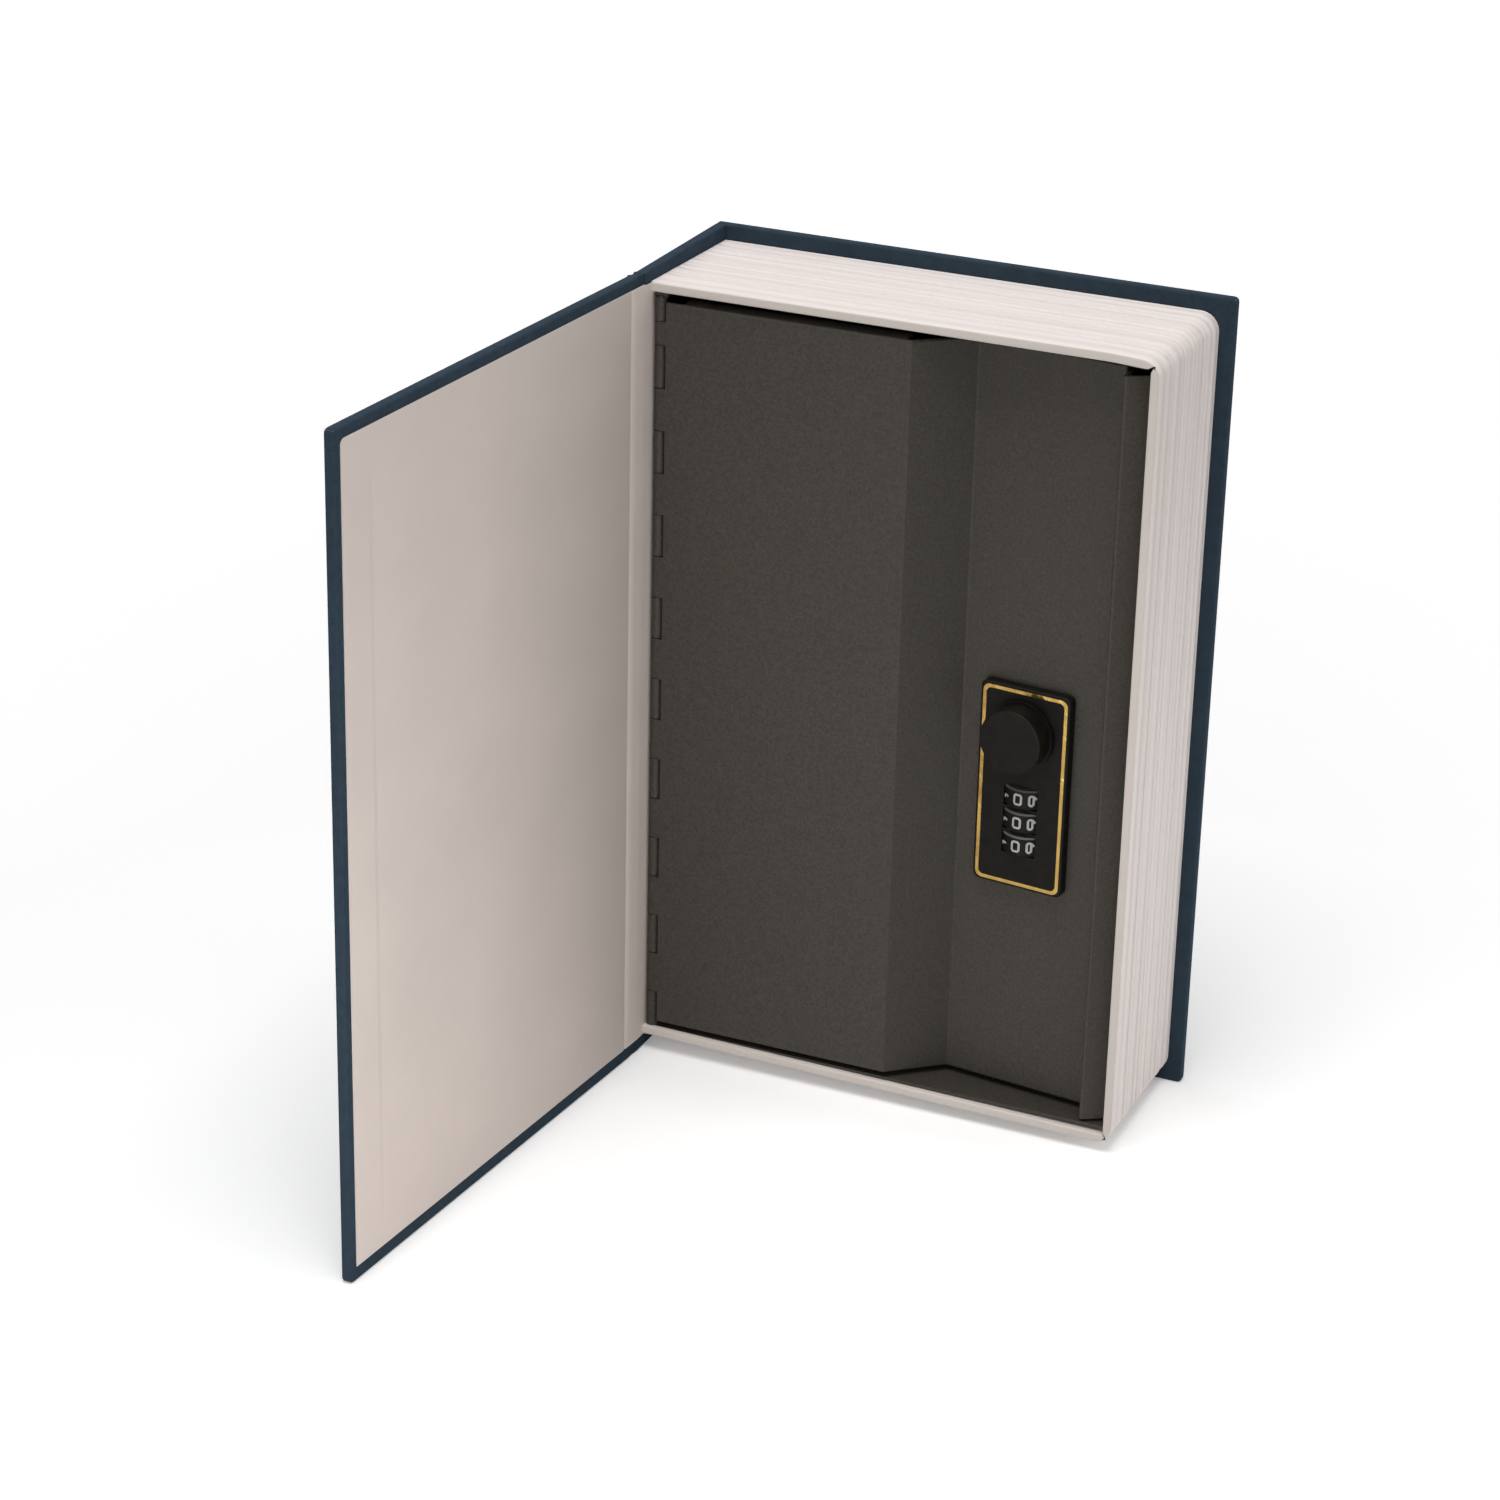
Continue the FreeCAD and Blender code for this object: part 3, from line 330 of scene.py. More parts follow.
def add(tree, kind, values=None, **settings):
    """A node with its settings, each input given a number, a colour or the socket that feeds it."""
    made = tree.nodes.new(kind)
    for key, value in settings.items():
        setattr(made, key, value)
    for key, value in (values or {}).items():
        if isinstance(value, bpy.types.NodeSocket):
            tree.links.new(value, made.inputs[key])
        else:
            made.inputs[key].default_value = value
    return made


def math_node(tree, operation, first, second=0.0):
    return add(tree, "ShaderNodeMath", {0: first, 1: second}, operation=operation).outputs[0]


def shared_group(name, inputs, outputs):
    """A shader node group with float inputs after its vector, and float outputs."""
    tree = bpy.data.node_groups.new(name, "ShaderNodeTree")
    tree.interface.new_socket("Vector", in_out="INPUT", socket_type="NodeSocketVector")
    for label, default in inputs.items():
        socket = tree.interface.new_socket(label, in_out="INPUT", socket_type="NodeSocketFloat")
        socket.default_value = default
    for label in outputs:
        tree.interface.new_socket(label, in_out="OUTPUT", socket_type="NodeSocketFloat")
    return tree, tree.nodes.new("NodeGroupInput").outputs, tree.nodes.new("NodeGroupOutput").inputs


def uneven_group():
    """A value that wanders between Low and High over the surface."""
    tree, given, out = shared_group(
        "uneven", {"Scale": 60.0, "Detail": 3.0, "Low": 0.9, "High": 1.1}, ["Value"])
    noise = add(tree, "ShaderNodeTexNoise", {
        "Vector": given["Vector"], "Scale": given["Scale"], "Detail": given["Detail"]})
    spread = add(tree, "ShaderNodeMapRange", {
        "Value": noise.outputs[0], 1: 0.3, 2: 0.7, 3: given["Low"], 4: given["High"]})
    tree.links.new(spread.outputs[0], out["Value"])
    return tree


def grain_group():
    """Height of a fine sprayed or moulded grain: small cells with finer noise over them."""
    tree, given, out = shared_group("grain", {"Scale": 1400.0}, ["Height"])
    cells = add(tree, "ShaderNodeTexVoronoi", {"Vector": given["Vector"], "Scale": given["Scale"]},
                feature="SMOOTH_F1")
    fine = add(tree, "ShaderNodeTexNoise", {
        "Vector": given["Vector"], "Scale": math_node(tree, "MULTIPLY", given["Scale"], 1.7),
        "Detail": 2.0})
    cell_height = math_node(tree, "MULTIPLY", cells.outputs["Distance"], 0.6)
    tree.links.new(math_node(tree, "ADD", cell_height, fine.outputs[0]), out["Height"])
    return tree


def weave_group():
    """Height and shade of a plain weave, with threads that vary."""
    tree, given, out = shared_group("weave", {"Threads": 2300.0}, ["Height", "Shade"])
    wander = add(tree, "ShaderNodeTexNoise", {
        "Vector": given["Vector"], "Scale": 350.0, "Detail": 2.0})
    bent = add(tree, "ShaderNodeVectorMath", {0: wander.outputs[1], "Scale": 0.0003},
               operation="SCALE")
    spot = add(tree, "ShaderNodeVectorMath", {0: given["Vector"], 1: bent.outputs[0]})
    lines = add(tree, "ShaderNodeSeparateXYZ", {0: spot.outputs[0]})
    turns = math_node(tree, "MULTIPLY", given["Threads"], math.pi)
    across = [math_node(tree, "SINE", math_node(tree, "MULTIPLY", lines.outputs[i], turns))
              for i in range(2)]
    over = math_node(tree, "MULTIPLY", across[0], across[1])
    height = math_node(tree, "ADD", math_node(tree, "MULTIPLY", over, 0.5), wander.outputs[0])
    tree.links.new(height, out["Height"])
    shade = add(tree, "ShaderNodeMapRange", {"Value": height, 1: 0.0, 2: 1.0, 3: 0.72, 4: 1.2})
    tree.links.new(shade.outputs[0], out["Shade"])
    return tree


def use_group(tree, name, builder, vector, **values):
    """Place a shared group, building it the first time."""
    group = bpy.data.node_groups.get(name) or builder()
    placed = tree.nodes.new("ShaderNodeGroup")
    placed.node_tree = group
    tree.links.new(vector, placed.inputs["Vector"])
    for label, value in values.items():
        placed.inputs[label].default_value = value
    return placed.outputs


def shaded(tree, base, value):
    """A colour made lighter and darker by a value that varies."""
    mixed = add(tree, "ShaderNodeVectorMath", {0: base, "Scale": value}, operation="SCALE")
    return mixed.outputs[0]


class Finish:
    """A material under way: its tree, its shader and its coordinates."""

    def __init__(self, name, uv=False):
        self.material = bpy.data.materials.new(name)
        self.material.use_nodes = True
        self.tree = self.material.node_tree
        self.shader = self.tree.nodes["Principled BSDF"]
        coordinates = self.tree.nodes.new("ShaderNodeTexCoord")
        self.place = coordinates.outputs["UV" if uv else "Object"]

    def uneven(self, scale, low, high, detail=3.0, place=None):
        return use_group(self.tree, "uneven", uneven_group, place or self.place,
                         Scale=scale, Detail=detail, Low=low, High=high)["Value"]

    def grain(self, scale):
        return use_group(self.tree, "grain", grain_group, self.place, Scale=scale)["Height"]

    def stretched(self, scales):
        """The coordinates drawn out along some axes."""
        drawn = add(self.tree, "ShaderNodeMapping", {"Vector": self.place, "Scale": scales})
        return drawn.outputs[0]

    def bump(self, height, distance, strength=1.0, under=None):
        values = {"Height": height, "Distance": distance, "Strength": strength}
        if under is not None:
            values["Normal"] = under
        return add(self.tree, "ShaderNodeBump", values).outputs[0]

    def coat(self, base, rough, normal=None, **plain):
        """Feed the shader what varies, set what doesn't, and give back the material."""
        for label, socket in (("Base Color", base), ("Roughness", rough), ("Normal", normal)):
            if socket is not None:
                self.tree.links.new(socket, self.shader.inputs[label])
        for label, value in plain.items():
            self.shader.inputs[label.replace("_", " ")].default_value = value
        return self.material


def finish_colours():
    """The colours that the user may set."""
    return bpy.context.scene.cash_box.finishes


def cover_cloth():
    """Navy book cloth: a fine matt weave, a little faded in places."""
    made = Finish("cover_cloth", uv=True)
    weave = use_group(made.tree, "weave", weave_group, made.place, Threads=2300.0)
    fade = made.uneven(45.0, 0.95, 1.06)
    base = shaded(made.tree, shaded(made.tree, finish_colours().cloth, weave["Shade"]), fade)
    return made.coat(base, made.uneven(120.0, 0.78, 0.92), made.bump(weave["Height"], 0.00012, 0.7),
                     Specular_IOR_Level=0.06)


def endpaper():
    """Matt paper with a soft fibre and slight cockling."""
    made = Finish("endpaper", uv=True)
    fibre = made.uneven(900.0, 0.0, 1.0, place=made.stretched((1.0, 0.45, 1.0)))
    base = shaded(made.tree, finish_colours().paper, made.uneven(30.0, 0.965, 1.02))
    cockle = made.bump(made.uneven(22.0, 0.0, 1.0, detail=1.0), 0.0005, 0.5)
    return made.coat(base, made.uneven(200.0, 0.72, 0.88), made.bump(fibre, 0.00003, 0.5, cockle))


def page_plastic():
    """Satin white strip with fine page lines between its ribs, darkened in the sunk lines by painted shade."""
    made = Finish("page_plastic")
    lines = made.uneven(1.0, 0.0, 1.0, detail=4.0, place=made.stretched((7.0, 1500.0, 7.0)))
    streaks = made.uneven(1.0, 0.9, 1.04, place=made.stretched((5.0, 600.0, 5.0)))
    # painted shade: the colour darkens with the depth of the page line under each vertex
    sunk = add(made.tree, "ShaderNodeAttribute", attribute_name="line_depth")
    painted_groove_shade = add(made.tree, "ShaderNodeMapRange", {"Value": sunk.outputs["Fac"], 3: 1.0, 4: 0.68})
    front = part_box("page_block")[0].y
    depth = add(made.tree, "ShaderNodeSeparateXYZ", {0: made.place}).outputs["Y"]
    inside = add(made.tree, "ShaderNodeMapRange", {
        "Value": depth, 1: front + 0.0003, 2: front + 0.002})
    rim, pages = ((*shade, 1) for shade in (finish_colours().rim, finish_colours().pages))
    # the front rim takes its own paler, yellower colour, blended into the pages' colour behind it
    rim_toned = add(made.tree, "ShaderNodeMix", {"Factor": inside.outputs[0], 6: rim, 7: pages},
               data_type="RGBA")
    base = shaded(made.tree, shaded(made.tree, rim_toned.outputs[2], streaks), painted_groove_shade.outputs[0])
    return made.coat(base, made.uneven(150.0, 0.42, 0.6), made.bump(lines, 0.00014, 0.8))


def steel_paint():
    """Dark grey powder coat: a fine even grain with a low sheen."""
    made = Finish("steel_paint")
    base = shaded(made.tree, finish_colours().steel_paint, made.uneven(1500.0, 0.78, 1.22))
    spray = made.bump(made.grain(1100.0), 0.00009, 0.8)
    return made.coat(base, made.uneven(60.0, 0.5, 0.56), spray, Specular_IOR_Level=0.3)


def zinc_plate():
    """Plated steel with a faint drawn line."""
    made = Finish("zinc_plate")
    drawn = made.uneven(1.0, 0.0, 1.0, place=made.stretched((2500.0, 2500.0, 90.0)))
    base = shaded(made.tree, finish_colours().zinc, made.uneven(160.0, 0.88, 1.06))
    lines = made.bump(drawn, 0.00002, 0.5)
    return made.coat(base, made.uneven(220.0, 0.28, 0.44), lines, Metallic=1.0)


def brass():
    """Plain turned brass, dulled in patches."""
    made = Finish("brass")
    base = shaded(made.tree, finish_colours().brass, made.uneven(300.0, 0.82, 1.08))
    return made.coat(base, made.uneven(400.0, 0.24, 0.4), Metallic=1.0)


def gold_line():
    """Gold foil line, bright and slightly rubbed."""
    made = Finish("gold_line")
    base = shaded(made.tree, finish_colours().gold, made.uneven(240.0, 0.86, 1.08))
    dents = made.bump(made.uneven(170.0, 0.0, 1.0), 0.0003, 0.6)
    return made.coat(base, made.uneven(500.0, 0.12, 0.24), dents, Metallic=1.0)


def dial_rim_highlights(made, base):
    """Painted highlight: the upper rim of each number dial given a paler grey."""
    (low, high), (below, _) = (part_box(f"dial_{name}") for name in DIALS[:2])
    pitch = low.z - below.z
    height = add(made.tree, "ShaderNodeSeparateXYZ", {0: made.place}).outputs["Z"]
    climb = math_node(made.tree, "SUBTRACT", height, low.z - pitch)
    rise = math_node(made.tree, "FRACT", math_node(made.tree, "DIVIDE", climb, pitch))
    top = (high.z - low.z) / pitch
    rim = add(made.tree, "ShaderNodeMapRange", {"Value": rise, 1: top - 0.07, 2: top - 0.04})
    rim_highlight = add(made.tree, "ShaderNodeMix", {
        "Factor": rim.outputs[0], 6: base, 7: (*finish_colours().rim_highlight, 1)}, data_type="RGBA")
    return rim_highlight.outputs[2]


def black_plastic(name, rough_low, rough_high, grain):
    """Black moulded plastic with the grain of its mould."""
    made = Finish(name)
    base = shaded(made.tree, finish_colours().black, made.uneven(300.0, 0.8, 1.25))
    # the dials get a painted highlight along their upper rims
    if name == "dial_black":
        base = dial_rim_highlights(made, base)
    return made.coat(base, made.uneven(260.0, rough_low, rough_high),
                     made.bump(made.grain(grain), 0.00003, 0.6), Specular_IOR_Level=0.12)


def print_white():
    """Pale printing ink, thin in places."""
    made = Finish("print_white")
    base = shaded(made.tree, finish_colours().figures, made.uneven(1500.0, 0.85, 1.05))
    return made.coat(base, made.uneven(900.0, 0.45, 0.6))


def raw_board():
    """Pressed grey board with flecks."""
    made = Finish("raw_board")
    base = shaded(made.tree, finish_colours().board, made.uneven(800.0, 0.75, 1.2))
    flecks = made.bump(made.grain(900.0), 0.0001, 0.6)
    return made.coat(base, made.uneven(300.0, 0.85, 0.95), flecks)


FINISHES = {
    "cover_cloth": cover_cloth,
    "endpaper": endpaper,
    "page_plastic": page_plastic,
    "box_steel": steel_paint,
    "bright_steel": zinc_plate,
    "lock_black": lambda: black_plastic("lock_black", 0.42, 0.55, 1600.0),
    "gold_line": gold_line,
    "dial_black": lambda: black_plastic("dial_black", 0.3, 0.42, 2400.0),
    "hub_brass": brass,
    "knob_black": lambda: black_plastic("knob_black", 0.34, 0.46, 2000.0),
    "greyboard": raw_board,
    "print_white": print_white,
}
made_finishes = {}


def finish(name):
    """The material of that name, made the first time it is asked for."""
    if name not in made_finishes:
        made_finishes[name] = FINISHES[name]()
    return made_finishes[name]


# operators


class CASHBOX_OT_page_block(bpy.types.Operator):
    """Model the ribbed strip of page edges, bent round head, fore-edge and tail"""
    bl_idname = "cashbox.page_block"
    bl_label = "Page Block"

    def execute(self, context):
        sizes = context.scene.cash_box.pages
        low, high = (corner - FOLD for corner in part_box("page_block"))
        inner = high.z - sizes.rim
        piece = start(bpy.ops.mesh.primitive_plane_add, "page_strip",
                      (low.x, low.y, inner), (low.x, high.y, high.z), rotation=(0, math.pi / 2, 0))
        dips = self.draw_ribs(piece, sizes, low.y, high)
        self.round_front(piece, sizes, low.y, high.z, inner)
        self.run_round(sizes, low, high)
        self.fold_corners(piece, sizes, low, high)
        self.fade_ends(piece, sizes, low, high, dips)
        self.relax(piece, sizes, low, high)
        close_up(piece, finish("page_plastic"), smooth=50)
        self.mark_lines(piece, sizes, dips)
        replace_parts(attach(piece, "book"), "page_block")
        return {"FINISHED"}

    def draw_ribs(self, piece, sizes, front, high):
        """Cut the end of the strip at uneven levels and sink the lines between its ribs."""
        widths = [1 + 0.34 * math.sin(2.3 * number) + 0.2 * math.sin(5.9 * number + 1)
                  for number in range(sizes.ribs)]
        pitch = (high.y - front) / sum(widths)
        level = front
        dips = {}
        for number, width in enumerate(widths):
            deep = sizes.line_depth * (0.7 + 0.3 * math.sin(3.7 * number + 0.5))
            for step in RIB_LEVELS:
                dips[level + step * width * pitch] = -deep * abs(2 * step - 1) ** 3
            level += width * pitch
        slice_at(1, [y for y in dips if y > front + CLOSE])
        for y, dip in dips.items():
            if y > front + CLOSE:
                push(piece, lambda spot, v: near(spot.y, y) and near(spot.z, high.z), (0, 0, dip))
        return dips

    def round_front(self, piece, sizes, front, top, inner):
        """Round the two front corners of the strip's section."""
        for level, radius in ((top, sizes.front_round), (inner, sizes.front_round / 2)):
            pick(piece, "VERT", lambda spot, v: near(spot.y, front) and near(spot.z, level))
            bpy.ops.mesh.bevel(offset=radius, segments=4, affect="VERTICES", clamp_overlap=True)

    def run_round(self, sizes, low, high):
        """Draw the section along the head, down the fore-edge and back along the tail."""
        bpy.ops.mesh.select_all(action="SELECT")
        straight = high.x - sizes.corner - low.x
        down = high.z - low.z - 2 * sizes.corner
        for offset, turn_z in (((straight, 0, 0), high.z - sizes.corner),
                               ((0, 0, -down), low.z + sizes.corner)):
            bpy.ops.mesh.extrude_region_move(TRANSFORM_OT_translate={"value": offset})
            centre = FOLD + Vector((high.x - sizes.corner, 0, turn_z))
            bpy.ops.mesh.spin(steps=TURN_STEPS, angle=-math.pi / 2, center=centre, axis=(0, 1, 0))
        bpy.ops.mesh.extrude_region_move(TRANSFORM_OT_translate={"value": (-straight, 0, 0)})

    def fold_corners(self, piece, sizes, low, high):
        """Square the inside of each corner and open the notch where the strip was folded."""
        radius = sizes.corner - sizes.rim
        inner_side = sizes.corner - sizes.rim / 2
        for side, centre_z in ((1, high.z - sizes.corner), (-1, low.z + sizes.corner)):
            centre = Vector((high.x - sizes.corner, 0, centre_z))
            for step in range(1, TURN_STEPS):
                swing = step * math.pi / 2 / TURN_STEPS
                spoke = Vector((math.sin(swing), 0, side * math.cos(swing)))
                offset = spoke * radius * (1 / max(abs(spoke.x), abs(spoke.z)) - 1)
                if step == TURN_STEPS // 2:
                    offset += Vector((sizes.notch, 0, side * sizes.notch))

                def on_spoke(spot, v):
                    arm = Vector((spot.x, 0, spot.z)) - centre
                    return arm.length < inner_side and (arm - spoke * arm.length).length < CLOSE

                push(piece, on_spoke, offset)

    def fade_ends(self, piece, sizes, low, high, dips):
        """Let the lines run out where the strip meets the spine."""
        slice_at(0, [low.x + sizes.corner])
        for y, dip in dips.items():
            for side, level in ((1, high.z), (-1, low.z)):
                push(piece, lambda spot, v: near(spot.x, low.x) and near(spot.y, y)
                     and near(spot.z, level + side * dip), (0, 0, -side * dip))

    def relax(self, piece, sizes, low, high):
        """Let the head rise at its front, and the tail sag towards the fore-edge."""
        end = high.x - sizes.rim
        slice_at(0, [end - sizes.settle * step / SETTLE_STEPS
                     for step in range(1, SETTLE_STEPS + 1)])
        shape = bmesh.from_edit_mesh(piece.data)
        for v in shape.verts:
            spot = v.co - FOLD
            along = (spot.x - low.x) / (high.x - low.x)
            back = (spot.y - low.y) / (high.y - low.y)
            run = min(max((end - spot.x) / sizes.settle, 0), 1)
            if spot.z > high.z / 2:
                corner = 1 - run * run * (3 - 2 * run)
                v.co.z += sizes.bulge * (1 - 2 * back) - sizes.drop * corner * (1 - back)
            else:
                v.co.z += sizes.sag * (1 - 2 * along)
        bmesh.update_edit_mesh(piece.data)

    def mark_lines(self, piece, sizes, dips):
        """Note on each vertex how deep in a page line it lies, for the finish to darken it as painted shade."""
        depth = piece.data.attributes.new("line_depth", "FLOAT", "POINT")
        levels = sorted(dips)
        for v in piece.data.vertices:
            place = (v.co - FOLD).y
            level = min(levels, key=lambda y: abs(y - place))
            depth.data[v.index].value = -dips[level] / sizes.line_depth


class CASHBOX_OT_case_cloth(bpy.types.Operator):
    """Wrap the front board, spine and back board in cloth, turned in on their inner faces"""
    bl_idname = "cashbox.case_cloth"
    bl_label = "Case Cloth"

    def execute(self, context):
        case = context.scene.cash_box.case
        back = case.thickness - case.wall
        self.wrap(case, "front_cloth_wrap",
                  (0, -case.reach, 0), (case.wall, -case.joint, case.height),
                  inside=(0, 1), open_ends=[(1, -case.joint)], fore=(1, -case.reach),
                  outside=(0, 0.0), body="front_cover", node="front_cloth")
        self.wrap(case, "spine_cloth_wrap",
                  (0, case.fold_gap, 0), (case.wall, back, case.height),
                  inside=(0, 1), open_ends=[(1, case.fold_gap), (1, back)], fore=None,
                  outside=None, body="book", node="spine_cloth")
        self.wrap(case, "back_cloth_wrap",
                  (0, back, 0), (case.width, case.thickness, case.height),
                  inside=(1, -1), open_ends=[], fore=(0, case.width),
                  outside=(1, case.thickness), body="book", node="back_cloth")
        return {"FINISHED"}

    def wrap(self, case, name, low, high, inside, open_ends, fore, outside, body, node):
        """Round a box the size of the board, open it where the board shows, and thicken it."""
        piece = start(bpy.ops.mesh.primitive_cube_add, name, low, high)
        thick, facing = inside
        along = 1 - thick
        if fore:
            def fore_corner(spot, edge):
                ends = [v.co - FOLD for v in edge.verts]
                upright = abs(ends[0][thick] - ends[1][thick]) > case.wall / 2
                return upright and near(spot[fore[0]], fore[1])

            pick(piece, "EDGE", fore_corner)
            bpy.ops.mesh.bevel(offset=case.corner_round, segments=4, affect="EDGES")

        def rim(spot, edge):
            in_end = any(near(spot[axis], level) for axis, level in open_ends)
            return not in_end and edge.calc_face_angle(0) > SHARP

        pick(piece, "EDGE", rim)
        bpy.ops.mesh.bevel(offset=case.edge_round, segments=3, affect="EDGES")
        if outside:
            self.press_line(piece, case, outside, along)
        self.open_inside(piece, case, low, high, thick, facing, open_ends, along)
        modify(piece, "SOLIDIFY", thickness=case.cloth, offset=-1, use_even_offset=True)
        close_up(piece, finish("cover_cloth"), unwrap=True)
        if body == "front_cover":
            bpy.ops.object.mode_set(mode="EDIT")
            turn_open(piece, lambda spot, v: True)
            bpy.ops.object.mode_set(mode="OBJECT")
        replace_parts(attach(piece, body), node)

    def press_line(self, piece, case, outside, along):
        """Press the line beside the fold into the outer face."""
        axis, level = outside
        away = -1 if along == 1 else 1
        lines = {case.crease * away + step * case.joint / 2: depth for step, depth in GROOVE_LINE}
        slice_at(along, lines)
        inward = Vector((0, 0, 0))
        inward[axis] = 1 if level == 0 else -1
        for place, depth in lines.items():
            push(piece, lambda spot, v: near(spot[along], place) and near(spot[axis], level),
                 inward * depth * case.groove)

    def open_inside(self, piece, case, low, high, thick, facing, open_ends, along):
        """Cut the window that the endpaper covers, and the ends where the cloth runs on."""
        ends = {level for axis, level in open_ends}
        sides = [low[along] + (0 if low[along] in ends else case.turn_in),
                 high[along] - (0 if high[along] in ends else case.turn_in)]
        slice_at(2, [case.turn_in, case.height - case.turn_in])
        slice_at(along, [side for side in sides if side not in ends])
        face_level = high[thick] if facing == 1 else low[thick]

        def window(spot, face):
            inner = near(spot[thick], face_level) and abs(face.normal[thick]) > FLAT
            return (inner and case.turn_in < spot.z < case.height - case.turn_in
                    and sides[0] < spot[along] < sides[1])

        def end(spot, face):
            return any(near(spot[axis], level) and abs(face.normal[axis]) > FLAT
                       for axis, level in open_ends)

        pick(piece, "FACE", lambda spot, face: window(spot, face) or end(spot, face))
        bpy.ops.mesh.delete(type="FACE")


class CASHBOX_OT_fold(bpy.types.Operator):
    """Model the cloth across the fold and the endpaper over it, both turned open with the cover"""
    bl_idname = "cashbox.fold"
    bl_label = "Fold and Endpaper"

    def execute(self, context):
        case = context.scene.cash_box.case
        self.bridge_cloth(case)
        self.paste_endpaper(case)
        return {"FINISHED"}

    def bend_with_cover(self, piece, case, *nodes):
        """Bake the piece's place into its mesh and hide the nodes that it stands in for."""
        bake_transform(piece)
        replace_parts(piece, *nodes)

    def bridge_cloth(self, case):
        """A strip from spine to cover with the cloth drawn in between the boards."""
        inside = case.wall - case.cloth
        piece = start(bpy.ops.mesh.primitive_cube_add, "fold_cloth",
                      (0, -case.joint, 0), (inside, case.fold_gap, case.height))
        span = case.joint + case.fold_gap
        levels = [case.fold_gap - span * step / FOLD_STEPS for step in range(1, FOLD_STEPS)]
        slice_at(1, levels)
        for level in levels:
            drawn = math.sin(math.pi * (case.fold_gap - level) / span) ** 2 * case.cloth
            push(piece, lambda spot, v: near(spot.y, level) and near(spot.x, 0), (drawn, 0, 0))
            for edge, shift in ((case.height, -drawn / 2), (0, drawn / 2)):
                push(piece, lambda spot, v: near(spot.y, level) and near(spot.z, edge),
                     (0, 0, shift))
        turn_open(piece, lambda spot, v: spot.y < 0)
        close_up(piece, finish("cover_cloth"), unwrap=True)
        self.bend_with_cover(piece, case, "joint_cloth")

    def paste_endpaper(self, case):
        """One sheet: tucked in beside the steel box, over the fold, and pasted in the cover."""
        level = case.wall + case.paper
        fore = case.margin - case.reach
        tail, head = case.tail_margin, case.height - case.head_margin
        piece = start(bpy.ops.mesh.primitive_plane_add, "endpaper_sheet",
                      (level, fore, tail), (level, case.tuck, head), rotation=(0, math.pi / 2, 0))
        pick(piece, "VERT", lambda spot, v: near(spot.y, fore) and near(spot.z, head))
        bpy.ops.mesh.bevel(offset=case.paper_corner, segments=5, affect="VERTICES")
        gap = case.joint / 6
        slice_at(1, [case.fold_gap - step * gap for step in range(8)])
        crease = {-case.crease + step * gap: dip for step, dip in CREASE_LINE}
        slice_at(1, crease)
        for place, dip in crease.items():
            push(piece, lambda spot, v: near(spot.y, place), (-dip * case.paper, 0, 0))
        self.show_turn_ins(piece, case)
        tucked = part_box("hinge_paper")[1].z - case.cloth - head
        for place, drop in ((case.fold_gap, tucked * TUCK_AT_FOLD), (case.tuck, tucked)):
            push(piece, lambda spot, v: near(spot.y, place) and near(spot.z, head), (0, 0, drop))
        turn_open(piece, lambda spot, v: spot.y < 0)
        modify(piece, "SOLIDIFY", thickness=case.paper, offset=-1)
        close_up(piece, finish("endpaper"), unwrap=True)
        self.bend_with_cover(piece, case, "front_endpaper", "hinge_paper")

    def show_turn_ins(self, piece, case):
        """Let the paper dip from the cloth turned in under it to the bare board."""
        step = case.joint / 4
        lines = [case.turn_in - step, case.turn_in, case.turn_in + step, case.turn_in + 2 * step]
        slice_at(2, lines + [case.height - line for line in lines])
        slice_at(1, [line - case.reach for line in lines])

        def over_board(spot, v):
            inset = min(spot.z, case.height - spot.z, spot.y + case.reach)
            return inset > case.turn_in + step / 2 and spot.y < -case.crease - case.joint

        push(piece, over_board, (-case.paper * PAPER_DIP, 0, 0))


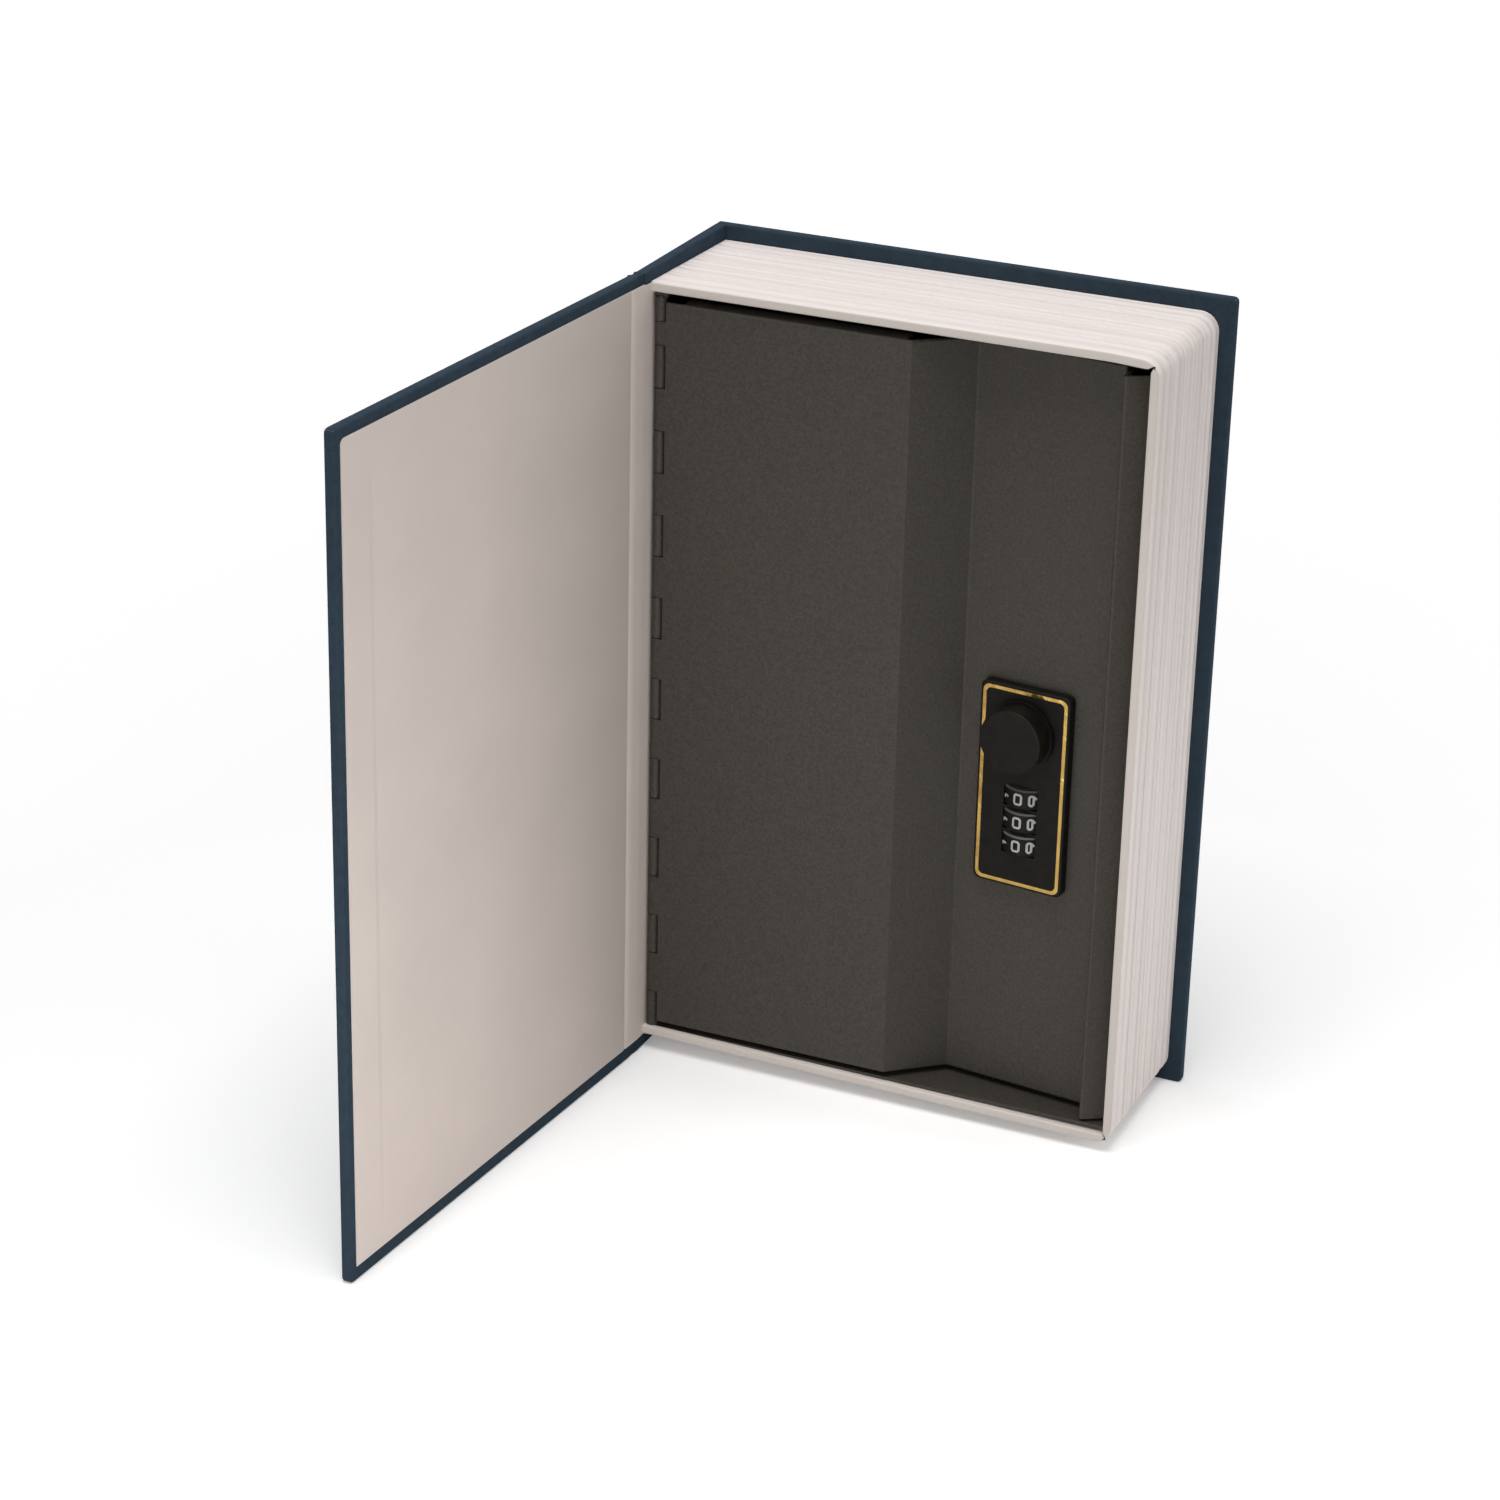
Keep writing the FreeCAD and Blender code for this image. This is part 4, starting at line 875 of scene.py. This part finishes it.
class CASHBOX_OT_dial_figures(bpy.types.Operator):
    """Print the figures 0 to 9 round each number dial"""
    bl_idname = "cashbox.dial_figures"
    bl_label = "Dial Figures"

    def execute(self, context):
        lock = context.scene.cash_box.lock
        front = Vector(JOINTS["knob_turn"]["axis"])
        facing = math.atan2(front.x, -front.y)
        for name in DIALS:
            low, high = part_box(f"dial_{name}")
            axis = (low + high) / 2
            radius = (high.x - low.x) / 2 + lock.print_lift
            figures = [self.figure(lock, number, axis, radius, facing) for number in range(FIGURES)]
            bpy.ops.object.select_all(action="DESELECT")
            for figure in figures:
                figure.select_set(True)
            piece = figures[0]
            context.view_layer.objects.active = piece
            bpy.ops.object.join()
            piece.name = piece.data.name = f"dial_{name}_figures"
            bpy.ops.object.mode_set(mode="EDIT")
            close_up(piece, finish("print_white"))
            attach(piece, f"dial_{name}")
        return {"FINISHED"}

    def figure(self, lock, number, axis, radius, facing):
        """One figure drawn with a round pen, made a mesh and laid on its side round the dial."""
        bpy.ops.object.select_all(action="DESELECT")
        pen = bpy.data.curves.new("figure", "CURVE")
        pen.dimensions = "3D"
        pen.bevel_depth = lock.stroke / 2
        pen.bevel_resolution = 1
        pen.use_fill_caps = True
        tall, wide = lock.figure_height - lock.stroke, lock.figure_width - lock.stroke
        for stroke in FIGURE_STROKES[number]:
            closed = stroke[0] == stroke[-1]
            points = [Vector(((x - 0.5) * wide, (y - 0.5) * tall)) for x, y in stroke]
            line = pen.splines.new("POLY")
            turns = self.ease_corners(points, lock.stroke * PEN_EASE, closed)
            line.points.add(len(turns) - 1)
            for point, place in zip(line.points, turns):
                point.co = (*place, 0, 1)
            line.use_cyclic_u = closed
        piece = bpy.data.objects.new("figure", pen)
        bpy.context.scene.collection.objects.link(piece)
        bpy.context.view_layer.objects.active = piece
        piece.select_set(True)
        bpy.ops.object.convert(target="MESH")
        piece = bpy.context.object
        around = facing - number * 2 * math.pi / FIGURES
        flatten = lock.print_lift / lock.stroke
        for v in piece.data.vertices:
            swing = around - v.co.y / radius
            out = radius + v.co.z * flatten
            v.co = (axis.x + out * math.sin(swing), axis.y - out * math.cos(swing), axis.z + v.co.x)
        return piece

    def ease_corners(self, points, ease, closed):
        """Cut each turn of a stroke across, so that the pen goes round it softly."""
        line = points[:-1] if closed else points
        eased = []
        for number, point in enumerate(line):
            if not closed and number in (0, len(line) - 1):
                eased.append(point)
                continue
            for other in (line[number - 1], line[(number + 1) % len(line)]):
                way = other - point
                eased.append(point + way.normalized() * min(ease, way.length * LONGEST_EASE))
        return eased


class CASHBOX_OT_frame_finishes(bpy.types.Operator):
    """Give every carried-over piece of the frame its finish"""
    bl_idname = "cashbox.frame_finishes"
    bl_label = "Frame Finishes"

    def execute(self, context):
        for part in frame["record"]["subparts"]:
            node = frame["nodes"][part["node"]]
            for slot in node.material_slots:
                slot.material = finish(part["material_slot"])
        return {"FINISHED"}


class CASHBOX_OT_stage(bpy.types.Operator):
    """Set the floor, the light and the camera"""
    bl_idname = "cashbox.stage"
    bl_label = "Stage"

    def execute(self, context):
        stage = context.scene.cash_box.stage
        context.scene.view_settings.view_transform = "Standard"
        self.lay_floor(stage)
        self.light(context, stage)
        self.aim(context, stage)
        return {"FINISHED"}

    def lay_floor(self, stage):
        """A pale floor that the camera sees as white away from the object's shadow."""
        bpy.ops.object.select_all(action="DESELECT")
        bpy.ops.mesh.primitive_plane_add(size=FLOOR_WIDTH)
        floor = bpy.context.object
        floor.name = "floor"
        surface = Finish("floor_paper")
        path = surface.tree.nodes.new("ShaderNodeLightPath")
        pale = add(surface.tree, "ShaderNodeMapRange", {
            "Value": path.outputs["Is Camera Ray"], 3: stage.floor, 4: 1.0})
        grey = add(surface.tree, "ShaderNodeCombineColor", {i: pale.outputs[0] for i in range(3)})
        surface.tree.links.new(grey.outputs[0], surface.shader.inputs["Base Color"])
        surface.shader.inputs["Specular IOR Level"].default_value = 0.0
        surface.shader.inputs["Roughness"].default_value = 1.0
        away = add(surface.tree, "ShaderNodeVectorMath", {0: surface.place}, operation="LENGTH")
        glow = add(surface.tree, "ShaderNodeMapRange", {
            "Value": away.outputs["Value"], 1: FLOOR_NEAR, 2: FLOOR_FAR, 3: 0.2, 4: 0.7})
        lift = math_node(surface.tree, "MULTIPLY", path.outputs["Is Camera Ray"], glow.outputs[0])
        surface.shader.inputs["Emission Color"].default_value = (1, 1, 1, 1)
        surface.tree.links.new(lift, surface.shader.inputs["Emission Strength"])
        floor.data.materials.append(surface.material)

    def light(self, context, stage):
        """A white sky for the camera and for reflections, weak as a light, and the lamps."""
        world = bpy.data.worlds.new("studio")
        context.scene.world = world
        world.use_nodes = True
        tree = world.node_tree
        path = tree.nodes.new("ShaderNodeLightPath")
        seen = path.outputs["Is Camera Ray"]
        for kind in ("Is Glossy Ray", "Is Transmission Ray"):
            seen = math_node(tree, "MAXIMUM", seen, path.outputs[kind])
        strength = add(tree, "ShaderNodeMapRange", {"Value": seen, 3: stage.sky, 4: 1.0})
        tree.nodes["Background"].inputs["Color"].default_value = (1, 1, 1, 1)
        tree.links.new(strength.outputs[0], tree.nodes["Background"].inputs["Strength"])
        for name, setting, width, place in LAMPS:
            self.hang_lamp(context, name, getattr(stage, setting), width, Vector(place))

    def hang_lamp(self, context, name, watts, width, place):
        """A square soft box that faces the middle of the object."""
        lamp = bpy.data.lights.new(name, "AREA")
        lamp.size = width
        lamp.energy = watts
        box = bpy.data.objects.new(name, lamp)
        context.scene.collection.objects.link(box)
        box.location = place
        box.visible_camera = False
        box.rotation_euler = (LIT_POINT - place).to_track_quat("-Z", "Y").to_euler()

    def aim(self, context, stage):
        """A camera at the photograph's place, turned by azimuth, elevation and roll."""
        camera = bpy.data.cameras.new("camera")
        camera.sensor_width = SENSOR_WIDTH
        camera.lens = stage.lens
        camera.clip_end = CLIP_END
        view = bpy.data.objects.new("camera", camera)
        context.scene.collection.objects.link(view)
        level = math.cos(stage.elevation)
        back = Vector((math.sin(stage.azimuth) * level, -math.cos(stage.azimuth) * level,
                       math.sin(stage.elevation)))
        right = Vector((0, 0, 1)).cross(back).normalized()
        up = back.cross(right)
        cosine, sine = math.cos(stage.roll), math.sin(stage.roll)
        columns = (cosine * right + sine * up, cosine * up - sine * right, back)
        turn = Matrix(columns).transposed().to_4x4()
        view.matrix_world = Matrix.Translation(FOLD + Vector(stage.camera)) @ turn
        context.scene.camera = view


class CASHBOX_PT_panel(bpy.types.Panel):
    """Lists the cash box operators"""
    bl_label = "Cash Box"
    bl_idname = "CASHBOX_PT_panel"
    bl_space_type = "VIEW_3D"
    bl_region_type = "UI"
    bl_category = "Cash Box"

    def draw(self, context):
        for operator in OPERATORS:
            self.layout.operator(operator.bl_idname)


OPERATORS = (
    CASHBOX_OT_page_block,
    CASHBOX_OT_case_cloth,
    CASHBOX_OT_fold,
    CASHBOX_OT_dial_figures,
    CASHBOX_OT_frame_finishes,
    CASHBOX_OT_stage,
)
CLASSES = (PageBlockSizes, CaseSizes, LockSizes, Finishes, StageSettings, CashBoxSettings,
           *OPERATORS, CASHBOX_PT_panel)


def register():
    for item in CLASSES:
        bpy.utils.register_class(item)
    bpy.types.Scene.cash_box = bpy.props.PointerProperty(type=CashBoxSettings)


def unregister():
    del bpy.types.Scene.cash_box
    for item in reversed(CLASSES):
        bpy.utils.unregister_class(item)


def main():
    register()
    bpy.ops.cashbox.page_block()
    bpy.ops.cashbox.case_cloth()
    bpy.ops.cashbox.fold()
    bpy.ops.cashbox.dial_figures()
    bpy.ops.cashbox.frame_finishes()
    bpy.ops.cashbox.stage()


if __name__ == "__main__":
    main()
